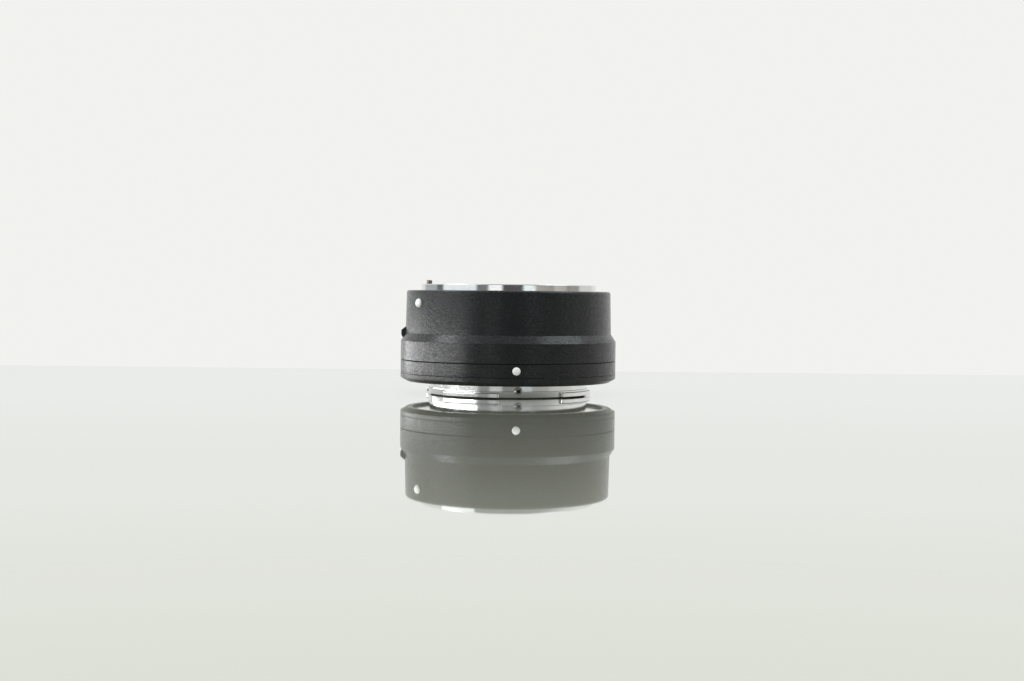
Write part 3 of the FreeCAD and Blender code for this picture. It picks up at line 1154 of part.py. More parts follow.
def aperture_pinion():
    """Pinion and its shaft, with a tooth space towards the aperture ring's middle tooth."""
    high = APERTURE_RING_TOP_Z + PINION_OVERHANG
    root_r = PINION_PITCH_R - ROOT_SHARE * GEAR_MODULE
    pitch = FULL_TURN / PINION_TEETH
    gear = toothed_sector(PINION_TEETH, root_r, PINION_TEETH, pitch / 2, PINION_Z, high)
    shaft = rod(MOTOR_SHAFT_R, MOTOR_TOP_Z - MOTOR_SHAFT_DEPTH, high + PINION_OVERHANG)
    pinion = fused([gear, shaft])
    pinion.translate(polar(PINION_CIRCLE_R, PINION_THETA, 0))
    return pinion


def lens_index_dot():
    return outward(dot(LENS_DOT_R), barrel_radius(LENS_DOT_Z) - DOT_RECESS, LENS_DOT_THETA, LENS_DOT_Z)


def camera_index_dot():
    return outward(dot(CAMERA_DOT_R), BAND_R - DOT_RECESS, CAMERA_DOT_THETA, CAMERA_DOT_Z)


PIECES = {
    "front_barrel": front_barrel,
    "rear_barrel": rear_barrel,
    "rear_trim_ring": rear_trim_ring,
    "assembly_screws": assembly_screws,
    "lens_mount_ring": lens_mount_ring,
    "lens_mount_screws": lens_mount_screws,
    "bayonet_leaf_springs": bayonet_leaf_springs,
    "leaf_spring_screws": leaf_spring_screws,
    "camera_mount": camera_mount,
    "camera_mount_screws": camera_mount_screws,
    "bayonet_stop_screw": bayonet_stop_screw,
    "inner_sleeve": inner_sleeve,
    "sleeve_screws": sleeve_screws,
    "light_baffle": light_baffle,
    "lens_contact_block": lens_contact_block,
    "contact_block_screws": contact_block_screws,
    "lens_contact_pins": lens_contact_pins,
    "lens_contact_springs": lens_contact_springs,
    "camera_contact_block": camera_contact_block,
    "camera_block_screws": camera_block_screws,
    "camera_contact_pads": camera_contact_pads,
    "circuit_board": circuit_board,
    "board_chips": board_chips,
    "board_screws": board_screws,
    "lens_flex_cable": lens_flex_cable,
    "camera_flex_cable": camera_flex_cable,
    "release_knob": knob,
    "release_knob_screw": knob_screw,
    "lock_carrier": lock_carrier,
    "lock_pin": lock_pin,
    "guide_rod": guide_rod,
    "lock_spring": lock_spring,
    "aperture_ring": aperture_ring,
    "aperture_lever": aperture_lever,
    "aperture_retainer": aperture_retainer,
    "aperture_motor": aperture_motor,
    "aperture_pinion": aperture_pinion,
    "lens_index_dot": lens_index_dot,
    "camera_index_dot": camera_index_dot,
}

os.makedirs("parts", exist_ok=True)
for name, build in PIECES.items():
    build().exportStep("parts/" + name + ".step")
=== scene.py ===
import json
import math

import bmesh
import bpy
from bpy.props import FloatProperty, FloatVectorProperty, PointerProperty
from mathutils import Matrix, Vector


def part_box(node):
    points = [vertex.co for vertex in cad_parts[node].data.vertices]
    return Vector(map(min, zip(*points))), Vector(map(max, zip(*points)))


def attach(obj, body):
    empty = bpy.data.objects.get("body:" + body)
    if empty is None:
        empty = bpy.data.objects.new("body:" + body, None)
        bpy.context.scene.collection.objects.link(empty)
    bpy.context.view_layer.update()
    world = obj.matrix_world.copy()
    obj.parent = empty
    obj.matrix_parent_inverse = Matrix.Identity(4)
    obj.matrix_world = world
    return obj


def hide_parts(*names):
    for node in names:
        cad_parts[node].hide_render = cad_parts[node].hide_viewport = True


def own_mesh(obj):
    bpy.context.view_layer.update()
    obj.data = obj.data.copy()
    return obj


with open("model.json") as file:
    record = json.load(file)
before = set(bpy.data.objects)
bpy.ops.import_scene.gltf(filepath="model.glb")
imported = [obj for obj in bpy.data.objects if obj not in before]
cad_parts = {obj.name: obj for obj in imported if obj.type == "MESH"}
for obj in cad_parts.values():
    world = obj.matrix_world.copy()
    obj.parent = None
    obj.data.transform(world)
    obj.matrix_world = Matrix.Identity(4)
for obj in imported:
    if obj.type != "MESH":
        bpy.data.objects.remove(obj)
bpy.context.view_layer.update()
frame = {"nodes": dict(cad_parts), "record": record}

bl_info = {
    "name": "Lens mount adapter",
    "version": (1, 0, 0),
    "blender": (4, 5, 0),
    "location": "3D View > Sidebar > Adapter",
    "description": "Builds the look of a lens mount adapter round its packed frame",
    "category": "Object",
}

# Lengths in this file are in millimetres, unless a property gives them in metres.
# An angle theta is in degrees about +Z, from the -Y direction towards +X.
MM = 0.001
FULL_TURN = 360.0
COLUMNS = 360
FINE_COLUMNS = 720
ROUND_COLUMNS = 72
SMALL_COLUMNS = 56
TINY_COLUMNS = 40
CORNER_STEPS = 5
CORNER_HOLD = 0.05
SHARP_ANGLE = 32.0
PAST = 1.0  # how far a cutter goes past a face
FIT = 0.1  # gap between two pieces
HAIR = 0.05  # gap between two pieces that slide or locate each other
THREAD = 0.03  # gap round a screw or a dot
SLOT_OF = {part["node"]: part["material_slot"] for part in frame["record"]["subparts"]}


def low_z(node):
    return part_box(node)[0].z / MM


def high_z(node):
    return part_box(node)[1].z / MM


def reach(node):
    """Largest distance of a node that goes all the way round the axis."""
    low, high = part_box(node)
    return max(high.x, high.y, -low.x, -low.y) / MM


# Places and sizes that the frame gives
BAND_R = reach("rear_trim_ring")
TRIM_RIM_Z = low_z("rear_trim_ring")
TRIM_TOP_Z = high_z("rear_trim_ring")
SEAM_Z = low_z("front_barrel")
BODY_TOP_Z = high_z("front_barrel")
FLOOR_UNDER_Z = low_z("rear_barrel")
SPIGOT_TOP_Z = high_z("rear_barrel")
LENS_RING_R = reach("lens_mount_ring")
LENS_SKIRT_Z = low_z("lens_mount_ring")
LENS_FLANGE_Z = high_z("lens_mount_ring")
CAMERA_FLANGE_R = reach("camera_mount")
SLEEVE_FOOT_Z = low_z("inner_sleeve")
CONTACT_TOP_Z = high_z("lens_contact_block")
CONTACT_TAIL_Z = low_z("lens_contact_block")
CONTACT_TIP_Z = high_z("lens_contact_pins")
CAMERA_BLOCK_Z = low_z("camera_contact_block")
CAMERA_BLOCK_TOP_Z = high_z("camera_contact_block")
PAD_Z = low_z("camera_contact_pads")
PAD_TOP_Z = high_z("camera_contact_pads")
PIN_FOOT_Z = low_z("lock_pin")
PIN_TIP_Z = high_z("lock_pin")
KNOB_Z = low_z("release_knob")
KNOB_TOP_Z = high_z("release_knob")
KNOB_R = -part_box("release_knob")[0].x / MM
LOCK_SPRING_Z = low_z("lock_spring")
LOCK_SPRING_TOP_Z = high_z("lock_spring")
CONTACT_SPRING_Z = low_z("lens_contact_springs")
CONTACT_SPRING_TOP_Z = high_z("lens_contact_springs")
LEVER_Z = low_z("aperture_lever")
LEVER_TOP_Z = high_z("aperture_lever")
LEVER_INNER_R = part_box("aperture_lever")[0].x / MM
LEVER_OUTER_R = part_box("aperture_lever")[1].x / MM

# Barrels
SHOULDER_FOOT_Z = 17.3
SHOULDER_TOP_Z = 19.75
BARREL_FOOT_R = 33.45
BARREL_TOP_R = 33.13
BARREL_BORE_R = 31.4
BAND_BORE_R = 33.0
BOSS_SPLIT_Z = 14.6
LENS_SEAT_Z = 33.0
DECK_UNDER_Z = 31.5
DECK_BORE_R = 24.5
TRIM_RIM_R = 33.03
TRIM_SLOPE_Z = 5.4
TRIM_STEP_Z = 5.9
FLOOR_TOP_Z = 8.5
BAFFLE_Z = 7.7
BAFFLE_R = 24.0
LOCK_TRAVEL = 1.8
SEAM_HALF_WIDTH = 0.15
TRIM_SEAM_HALF_WIDTH = 0.08
TRIM_SEAM_DEPTH = 0.15
REAR_BORE_STEP = 0.2
SPIGOT_DROP = 0.3

# Coil springs
COIL_STEPS = 28
COIL_SIDES = 10
SPRING_FIT = 0.03
LOCK_WIRE_R = 0.18
LOCK_COIL_TURNS = 4
CONTACT_WIRE_R = 0.1
CONTACT_COIL_TURNS = 4
CONTACT_TRAVEL = 0.8

# Lens side bayonet
THROAT_R = 23.6
LENS_TAB_R = 22.0
LENS_TAB_UNDER_Z = 34.1
LENS_SKIRT_R = 24.4
LENS_TAB_CENTRES = (-150.0, -30.0, 90.0)
LENS_TAB_OVERLAP = 0.5
LENS_SCREW_R = 26.4
LENS_SCREW_THETAS = (18.0, 90.0, 162.0, -126.0, -54.0)
LENS_SCREW_LENGTH = 5.2
PIN_CIRCLE_R = 25.9
PIN_R = 0.9
PIN_COLLAR_R = 1.25
PIN_COLLAR_HEIGHT = 1.0

# Camera side bayonet
CAMERA_BORE_R = 22.6
CAMERA_RIM_R = 24.5
NECK_R = 25.6
PILOT_R = 26.0
PILOT_Z = 2.3
PILOT_DRAFT = 0.2
CAMERA_FLANGE_Z = 5.0
CAMERA_FLANGE_INNER_STEP_R = 30.2
CAMERA_TAB_R = 27.0
CAMERA_TAB_Z = 0.3
CAMERA_TAB_TOP_Z = 1.8
CAMERA_TAB_CENTRES = (-118.5, -27.5, 61.5, 151.5)
CAMERA_TAB_OVERLAP = 0.3
CAMERA_TAB_COLUMNS = 48
TAB_CORNER_STEPS = 6
CAMERA_SCREW_R = 28.6
CAMERA_SCREW_THETAS = (17.0, 106.5, -163.5, -73.0)
CAMERA_SCREW_LENGTH = 3.2
STOP_THETA = 7.5
STOP_Z = 2.35
STOP_SEAT_R = 25.4
STOP_HEAD_R = 1.2
STOP_HEAD_HEIGHT = 1.1
STOP_SHANK_R = 0.7
STOP_SOCKET_R = 0.66
STOP_SOCKET_DEPTH = 0.8
STOP_SOCKET_TIP_DEPTH = 0.95
STOP_SEAT_GAP = 0.15

# Countersunk screws
SCREW_HEAD_R = 1.5
SCREW_SHANK_R = 0.8
SCREW_SINK = 0.08
CROSS_LENGTH = 1.7
CROSS_WIDTH = 0.4
CROSS_DEPTH = 0.5
CROSS_FOOT_SHARES = (0.30, 0.35)
CROSS_MOUTH_SHARES = (0.62, 0.60)

# Release knob
LOCK_THETA = -90.0
KNOB_INNER_R = 33.0
KNOB_LIP_R = 34.4
KNOB_LIP_Z = 18.1
KNOB_EDGE_Z = 19.2
KNOB_SLOPE_Z = 20.5
KNOB_GROOVE = 0.15
KNOB_GROOVE_SHARES = (0.25, 0.75)
POCKET_GAP = 0.3
STEM_GAP = 0.2
STEM_LOW_Z = 18.6
STEM_TOP_Z = 21.0
STEM_WIDTH = 3.8
STEM_INNER_R = 31.1

# Throat sleeve and contacts
SLEEVE_BORE_R = 23.0
SLEEVE_FOOT_OUTER_R = 25.0
SLEEVE_TOP_OUTER_R = 24.2
SLEEVE_SHOULDER_Z = 24.0
RIB_COUNT = 10
RIB_FIRST_Z = 10.4
SHELF_Z = 22.0
SHELF_INNER_R = 19.9
SHELF_OVERLAP = 0.2
EAR_THETAS = (-150.0, -60.0, 72.0)
EAR_TURN = 10.4
EAR_REACH = 2.5
EAR_OVERLAP = 0.5
EAR_HEIGHT = 0.8
CONTACT_INNER_R = 19.7
CONTACT_OUTER_R = 22.8
CONTACT_HALF_ANGLE = 31.0
CONTACT_CIRCLE_R = 21.2
CONTACT_COUNT = 8
CONTACT_PITCH = 6.5
CONTACT_PIN_R = 0.55
CONTACT_COLLAR_R = 0.75
CONTACT_COLLAR_HEIGHT = 0.7
CONTACT_LID_Z = 29.2
WELL_DEPTH = 4.7
WELL_MOUTH_GAP = 0.2
TAIL_INNER_R = CONTACT_INNER_R + 0.7
TAIL_OUTER_R = CONTACT_INNER_R + 2.3
TAIL_OVERLAP = 0.5
TAIL_TURN = 18.0
PAN_HOLE_R = 0.93
PAN_HOLE_DEPTH = 0.7
BLOCK_SCREW_THETAS = (-28.0, 28.0)
CAMERA_BLOCK_INNER_R = 19.4
CAMERA_BLOCK_OUTER_R = 22.4
CAMERA_BLOCK_HALF_ANGLE = 32.0
PAD_CIRCLE_R = 20.9
PAD_COUNT = 11
PAD_PITCH = 4.4
PAD_WIDTH = 1.1
PAD_LENGTH = 1.7
LEVER_THETA = 90.0
LEVER_WIDTH = 2.4
LEVER_THICKNESS = 0.8
LEVER_FINGER = 1.2
LEVER_INSET = 0.01
LEVER_SLOT_TURN = 36.0
LEVER_SLOT_OFFSET = 14.0
LEVER_SLOT_HEIGHT = 1.2

# Index dots
LENS_DOT_THETA = -57.9
LENS_DOT_Z = 29.4
CAMERA_DOT_THETA = 4.4
CAMERA_DOT_Z = 9.0
DOT_RECESS = 0.35
LENS_DOT_CROWN = 1.05
CAMERA_DOT_CROWN = 0.45
DOT_STEPS = 12

# Floor and camera; the floor's sides are in metres
FLOOR_SIDE = 0.46
FLOOR_FRONT = -0.48
FLOOR_BACK = 0.152
SENSOR_WIDTH = 36.0
PICTURE_WIDTH = 1024.0
FOCAL_PIXELS = 1501.8
CAMERA_PLACE = (1.224, -490.3, 32.07)
CAMERA_TILT = 0.030
CAMERA_ROLL = 0.010

# What stands round the room: direction in degrees, brightness and tint
PLAIN, COOL, WARM, MAUVE = (0.99, 1.0, 0.985), (0.93, 1.0, 1.03), (1.04, 1.0, 0.92), (1.02, 0.95, 1.0)
ROOM = (
    (-180.0, 0.86, PLAIN), (-144.0, 0.84, PLAIN), (-140.0, 0.50, COOL), (-109.0, 0.46, COOL), (-106.0, 0.16, COOL),
    (-96.0, 0.16, COOL), (-93.0, 1.00, COOL), (-43.0, 1.00, COOL), (-41.0, 0.20, COOL), (-27.0, 0.22, PLAIN),
    (-25.0, 1.20, PLAIN), (-9.0, 1.20, PLAIN), (-7.0, 0.09, MAUVE), (18.0, 0.10, MAUVE), (20.0, 1.15, COOL),
    (34.0, 1.15, COOL), (36.0, 0.46, WARM), (60.0, 0.34, WARM), (63.0, 0.56, WARM), (80.0, 0.46, WARM),
    (83.0, 0.28, WARM), (103.0, 0.34, WARM), (107.0, 0.72, PLAIN), (140.0, 0.76, PLAIN), (145.0, 0.86, PLAIN),
    (180.0, 0.86, PLAIN),
)

# Lamps: name, place and target in metres, width and height, brightness, tint. The fills alone light the floor, and
# no polished face mirrors them.
MIDDLE = (0.0, 0.0, 0.02)
WHITE = (1.0, 1.0, 1.0)
WINDOWS = (
    ("window_left", (-1.16, -0.48, 0.68), MIDDLE, (1.4, 1.25), 0.92, (0.97, 1.0, 1.0)),
    ("window_left_high", (-0.90, 0.02, 0.98), MIDDLE, (0.50, 0.36), 5.5, (0.90, 0.97, 1.0)),
    ("window_right", (0.90, -0.15, 1.10), MIDDLE, (0.9, 0.6), 3.2, (0.88, 0.97, 1.0)),
    ("card_left", (-0.125, -0.008, 0.009), (0.0, 0.0, 0.010), (0.24, 0.018), 6.5, WHITE),
)
FILLS = (
    ("front_fill", (0.10, -1.20, 0.70), MIDDLE, (1.0, 1.0), 1.2, WHITE),
    ("ceiling_fill", (-0.25, -0.15, 1.40), MIDDLE, (1.1, 1.1), 1.7, WHITE),
)


def user_length(name, description, default):
    """A size of the user's, whose default is given in millimetres."""
    return FloatProperty(name=name, description=description, default=default * MM, unit="LENGTH")


def user_angle(name, description, default):
    """An angle of the user's, whose default is given in degrees."""
    return FloatProperty(name=name, description=description, default=math.radians(default), unit="ROTATION")


def user_colour(name, description, default):
    """A colour of the user's, as linear red, green and blue."""
    return FloatVectorProperty(
        name=name, description=description, default=default, subtype="COLOR", size=3, min=0.0, max=1.0)


class AdapterSizes(bpy.types.PropertyGroup):
    """Sizes that a user may change."""

    band_radius: user_length("Band radius", "Outer radius of the wide band", BAND_R)
    edge_round: user_length("Top edge round", "Round of the barrel's upper edge", 0.8)
    band_round: user_length("Band edge round", "Round of the shoulder's lower edge", 0.22)
    seam_depth: user_length("Seam depth", "Depth of the seam between the barrels", 0.3)
    lens_tab_width: user_angle("Lens tab width", "Angle that each lens side tab takes up", 56.0)
    camera_tab_width: user_angle("Camera tab width", "Angle that each camera side tab takes up", 43.9)
    tab_corner: user_length("Tab corner", "Round of the camera side tabs' corners", 0.5)
    rib_depth: user_length("Rib depth", "Depth of the grooves in the throat", 0.4)
    rib_pitch: user_length("Rib pitch", "Height of one groove in the throat", 1.1)
    knob_width: user_length("Knob width", "Width of the release knob", 7.8)
    lens_dot_radius: user_length("Lens dot radius", "Radius of the upper index dot", 1.42)
    camera_dot_radius: user_length("Camera dot radius", "Radius of the lower index dot", 1.25)
    grain: user_length("Paint grain", "Size of the grains in the crinkle paint", 0.62)
    grain_depth: user_length("Paint grain depth", "Height of the grains", 0.17)


class AdapterColours(bpy.types.PropertyGroup):
    """Colours that a user may change."""

    paint: user_colour("Crinkle paint", "Black paint of the barrels", (0.0065, 0.007, 0.008))
    worn_paint: user_colour("Worn paint", "Paint where hands rub it", (0.05, 0.05, 0.052))
    metal: user_colour("Bayonet metal", "Polished plating of both bayonets", (0.80, 0.80, 0.79))
    steel: user_colour("Steel", "Screws, springs and strips", (0.62, 0.61, 0.59))
    gold: user_colour("Contact gold", "Plating of the contacts", (0.85, 0.62, 0.26))
    dot: user_colour("Index dots", "Enamel of the index dots", (0.86, 0.86, 0.85))
    floor: user_colour("Floor", "Glossy table top", (0.60, 0.61, 0.50))
    wall: user_colour("Wall", "Pale wall behind the object", (0.885, 0.888, 0.865))


# Mesh making

def polar(radius, theta, z=0.0):
    angle = math.radians(theta)
    return Vector((radius * math.sin(angle), -radius * math.cos(angle), z))


def standing(circle, theta):
    """Carries a form built round the Z axis to its place on a circle."""
    return Matrix.Translation(polar(circle, theta)) @ Matrix.Rotation(math.radians(theta), 4, "Z")


def outward(radius, theta, z):
    """Carries a form built along +Z so that it points out from the axis."""
    turn = Matrix.Rotation(math.radians(theta), 4, "Z")
    return turn @ Matrix.Translation((0, -radius, z)) @ Matrix.Rotation(math.pi / 2, 4, "X")


def spread(count, pitch):
    """Angles of a row of like pieces centred on theta zero."""
    return [(index - (count - 1) / 2) * pitch for index in range(count)]


def oblong(inner, outer, low, high, rounds=(0.0, 0.0, 0.0, 0.0)):
    """Outline between two radii and two heights, with a round for each corner, the lower inner one first."""
    return [(inner, low, rounds[0]), (outer, low, rounds[1]), (outer, high, rounds[2]), (inner, high, rounds[3])]


def rounded(outline):
    """The closed outline of (radius, z, round) corners, with an arc for each round."""
    points = []
    for index, corner in enumerate(outline):
        here = Vector(corner[:2])
        size = corner[2] if len(corner) > 2 else 0.0
        if not size:
            points.append(here)
            continue
        back = (Vector(outline[index - 1][:2]) - here).normalized()
        ahead = (Vector(outline[(index + 1) % len(outline)][:2]) - here).normalized()
        half = back.angle(ahead) / 2
        run = size / math.tan(half)
        centre = here + (back + ahead).normalized() * size / math.sin(half)
        first = here + back * run - centre
        last = here + ahead * run - centre
        start = math.atan2(first.y, first.x)
        sweep = (math.atan2(last.y, last.x) - start + math.pi) % (2 * math.pi) - math.pi
        points.append(here + back * (run + CORNER_HOLD))
        for step in range(CORNER_STEPS + 1):
            angle = start + sweep * step / CORNER_STEPS
            points.append(centre + size * Vector((math.cos(angle), math.sin(angle))))
        points.append(here + ahead * (run + CORNER_HOLD))
    return points


def sweep_round(outlines, thetas, closed):
    """Form through like outlines of (radius, z) points, one at each angle about the axis."""
    form = bmesh.new()
    columns = []
    for outline, theta in zip(outlines, thetas):
        columns.append([form.verts.new(polar(radius, theta, z)) for radius, z in outline])
    pairs = list(zip(columns, columns[1:]))
    if closed:
        pairs.append((columns[-1], columns[0]))
    count = len(columns[0])
    for near, far in pairs:
        for row in range(count):
            after = (row + 1) % count
            form.faces.new((near[row], near[after], far[after], far[row]))
    if not closed:
        form.faces.new(columns[0])
        form.faces.new(list(reversed(columns[-1])))
    bmesh.ops.remove_doubles(form, verts=form.verts, dist=1e-5)
    bmesh.ops.recalc_face_normals(form, faces=form.faces)
    return form


def lathe(outline, turn=FULL_TURN, centre=0.0, columns=COLUMNS):
    """Turned form, all the way round or over an angle centred on theta."""
    points = rounded(outline)
    if turn == FULL_TURN:
        thetas = [FULL_TURN * index / columns for index in range(columns)]
    else:
        count = max(4, math.ceil(turn * columns / FULL_TURN))
        thetas = [centre - turn / 2 + turn * index / count for index in range(count + 1)]
    return sweep_round([points] * len(thetas), thetas, turn == FULL_TURN)


def softened(form, width, limit=50.0, segments=3):
    """Rounds the form's edges that are sharper than the limit."""
    edges = [edge for edge in form.edges
             if len(edge.link_faces) == 2 and edge.calc_face_angle() > math.radians(limit)]
    bmesh.ops.bevel(form, geom=edges, offset=width, segments=segments, profile=0.5, affect="EDGES",
                    clamp_overlap=True)
    return form


def slab(width, inner, outer, low, high, theta=0.0):
    """Straight-sided block across a radius at theta."""
    form = bmesh.new()
    bmesh.ops.create_cube(form, size=1.0)
    form.transform(Matrix.Translation((0, -(inner + outer) / 2, (low + high) / 2))
                   @ Matrix.Diagonal((width, outer - inner, high - low, 1)))
    form.transform(Matrix.Rotation(math.radians(theta), 4, "Z"))
    return form


def rod(radius, low, high, columns=SMALL_COLUMNS):
    return lathe([(0, low), (radius, low), (radius, high), (0, high)], columns=columns)


def coil(wire_r, coil_r, turns, low, high):
    """Helical spring round the Z axis, with a close turn at each end."""
    steps = (turns + 2) * COIL_STEPS
    close = 3 * wire_r
    pitch = (high - low - 2 * wire_r - 2 * close) / turns
    form = bmesh.new()
    rings = []
    for index in range(steps + 1):
        turned = index / COIL_STEPS
        height = (low + wire_r + close * min(turned, 1.0) + pitch * min(max(turned - 1.0, 0.0), turns)
                  + close * max(turned - 1.0 - turns, 0.0))
        ring = []
        for side in range(COIL_SIDES):
            lean = 2 * math.pi * side / COIL_SIDES
            ring.append(form.verts.new(
                polar(coil_r + wire_r * math.cos(lean), FULL_TURN * turned, height + wire_r * math.sin(lean))))
        rings.append(ring)
    for near, far in zip(rings, rings[1:]):
        for side in range(COIL_SIDES):
            after = (side + 1) % COIL_SIDES
            form.faces.new((near[side], near[after], far[after], far[side]))
    form.faces.new(rings[0])
    form.faces.new(list(reversed(rings[-1])))
    bmesh.ops.recalc_face_normals(form, faces=form.faces)
    return form


def placed(form, *matrices):
    """Copies of a form at each matrix, in one form; the first form is used up."""
    mesh = bpy.data.meshes.new("copy")
    form.to_mesh(mesh)
    form.free()
    whole = bmesh.new()
    for matrix in matrices:
        start = len(whole.verts)
        whole.from_mesh(mesh)
        whole.verts.ensure_lookup_table()
        bmesh.ops.transform(whole, matrix=matrix, verts=whole.verts[start:])
    bpy.data.meshes.remove(mesh)
    return whole


def ringed(form, circle, *thetas):
    """Copies of a form that was built round the Z axis, on a circle at each angle."""
    return placed(form, *[standing(circle, theta) for theta in thetas])


def joined(forms):
    whole = bmesh.new()
    for form in forms:
        mesh = bpy.data.meshes.new("copy")
        form.to_mesh(mesh)
        form.free()
        whole.from_mesh(mesh)
        bpy.data.meshes.remove(mesh)
    return whole


def as_piece(name, form):
    mesh = bpy.data.meshes.new(name)
    form.to_mesh(mesh)
    form.free()
    piece = bpy.data.objects.new(name, mesh)
    bpy.context.scene.collection.objects.link(piece)
    return piece


def combined(piece, operation, forms):
    """Adds forms to a piece or cuts them from it; the forms of one call stay clear of each other."""
    tool = as_piece("tool", joined(forms))
    step = piece.modifiers.new("Combine", "BOOLEAN")
    step.operation = operation
    step.solver = "EXACT"
    step.object = tool
    graph = bpy.context.evaluated_depsgraph_get()
    made = bpy.data.meshes.new_from_object(piece.evaluated_get(graph))
    piece.modifiers.clear()
    old, used = piece.data, tool.data
    piece.data = made
    bpy.data.objects.remove(tool)
    bpy.data.meshes.remove(old)
    bpy.data.meshes.remove(used)
    if not made.polygons:
        raise RuntimeError(f"{piece.name} came out empty")
    return piece


def carved(piece, *forms):
    return combined(piece, "DIFFERENCE", forms)


def welded(piece, *forms):
    return combined(piece, "UNION", forms)


def handed_over(context, piece, body, *nodes):
    """Gives a finished piece its size, shading, material, body and the nodes it stands for."""
    mesh = piece.data
    mesh.transform(Matrix.Scale(MM, 4))
    mesh.shade_smooth()
    mesh.set_sharp_from_angle(angle=math.radians(SHARP_ANGLE))
    mesh.materials.clear()
    mesh.materials.append(finish(context, SLOT_OF[nodes[0]]))
    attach(piece, body)
    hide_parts(*nodes)
    return piece


# Material making

def toned(tone, share):
    return [value * share for value in tone]


class Socket:
    """An output of a shader node. Arithmetic on a value adds Math nodes to its tree."""

    def __init__(self, tree, link):
        self.tree = tree
        self.link = link

    def math(self, operation, *values):
        return self.tree.add("ShaderNodeMath", {"operation": operation}, dict(enumerate(values)))

    def __add__(self, other):
        return self.math("ADD", self, other)

    def __radd__(self, other):
        return self.math("ADD", other, self)

    def __sub__(self, other):
        return self.math("SUBTRACT", self, other)

    def __rsub__(self, other):
        return self.math("SUBTRACT", other, self)

    def __mul__(self, other):
        return self.math("MULTIPLY", self, other)

    def __rmul__(self, other):
        return self.math("MULTIPLY", other, self)

    def __truediv__(self, other):
        return self.math("DIVIDE", self, other)

    def __pow__(self, other):
        return self.math("POWER", self, other)

    def __abs__(self):
        return self.math("ABSOLUTE", self)


class Shading:
    """A node tree with short ways to add what the finishes are made of."""

    def __init__(self, tree, output):
        self.tree = tree
        tree.nodes.clear()
        self.output = tree.nodes.new(output)

    def add(self, kind, settings=None, inputs=None, output=0):
        """A node of a kind, with its settings made first, then its inputs given or linked."""
        node = self.tree.nodes.new(kind)
        for key, value in (settings or {}).items():
            if key == "stops":
                self.set_stops(node.color_ramp, value)
            else:
                setattr(node, key, value)
        for key, value in (inputs or {}).items():
            if isinstance(value, Socket):
                self.tree.links.new(value.link, node.inputs[key])
            else:
                node.inputs[key].default_value = value
        return Socket(self, node.outputs[output])

    def set_stops(self, ramp, stops):
        """Gives a colour ramp its (place, colour) stops, from the lowest place up."""
        while len(ramp.elements) < len(stops):
            ramp.elements.new(1.0)
        for element, (place, colour) in zip(ramp.elements, stops):
            element.position = place
            element.color = tuple(colour) + (1.0,)

    def close(self, shader):
        self.tree.links.new(shader.link, self.output.inputs["Surface"])

    def mix(self, share, first, second):
        """Colour between two colours."""
        colours = [tuple(colour) + (1.0,) if not isinstance(colour, Socket) and len(colour) == 3 else colour
                   for colour in (first, second)]
        return self.add("ShaderNodeMix", {"data_type": "RGBA"}, {0: share, 6: colours[0], 7: colours[1]}, 2)

    def place(self):
        """Where a point is on the piece, in millimetres."""
        place = self.add("ShaderNodeTexCoord", output="Object")
        return self.add("ShaderNodeVectorMath", {"operation": "SCALE"}, {0: place, "Scale": 1 / MM})

    def split(self, vector):
        node = self.add("ShaderNodeSeparateXYZ", inputs={0: vector})
        sockets = node.link.node.outputs
        return [Socket(self, sockets[index]) for index in range(3)]

    def vector(self, x, y, z):
        return self.add("ShaderNodeCombineXYZ", inputs={0: x, 1: y, 2: z})

    def round_place(self, place):
        """Distance from the axis, angle in radians and height of a place."""
        x, y, z = self.split(place)
        return (x * x + y * y) ** 0.5, x.math("ARCTAN2", x, y * -1.0), z

    def noise(self, place, size, detail=2.0, rough=0.5):
        """Even noise from 0 to 1, with lumps of a size."""
        return self.add("ShaderNodeTexNoise", None,
                        {"Vector": place, "Scale": 1 / size, "Detail": detail, "Roughness": rough})

    def cells(self, place, size, smooth=0.35):
        """Distance to the nearest of many points a size apart."""
        return self.add("ShaderNodeTexVoronoi", {"feature": "SMOOTH_F1"},
                        {"Vector": place, "Scale": 1 / size, "Smoothness": smooth}, "Distance")

    def ramp(self, value, low, high):
        """Smooth step from 0 at low to 1 at high."""
        return self.add("ShaderNodeMapRange", {"interpolation_type": "SMOOTHSTEP"},
                        {"Value": value, "From Min": low, "From Max": high})

    def near(self, value, centre, half, soft):
        """One within half of the centre, down to 0 at half and soft together."""
        return 1.0 - self.ramp(abs(value - centre), half, half + soft)

    def stripes(self, value, half, soft):
        """Soft-edged stripes, one for each unit of a value."""
        return self.near(value.math("FRACT", value), 0.5, half, soft)

    def bump(self, height, depth):
        """Normal of a surface whose height varies by a depth in millimetres."""
        return self.add("ShaderNodeBump", None, {"Strength": 1.0, "Distance": depth * MM, "Height": height})

    def surface(self, **inputs):
        """Principled surface; underscores in the names of its inputs stand for spaces."""
        values = {}
        for key, value in inputs.items():
            if not isinstance(value, Socket) and key.endswith("Color") and len(value) == 3:
                value = tuple(value) + (1.0,)
            values[key.replace("_", " ")] = value
        self.close(self.add("ShaderNodeBsdfPrincipled", None, values))


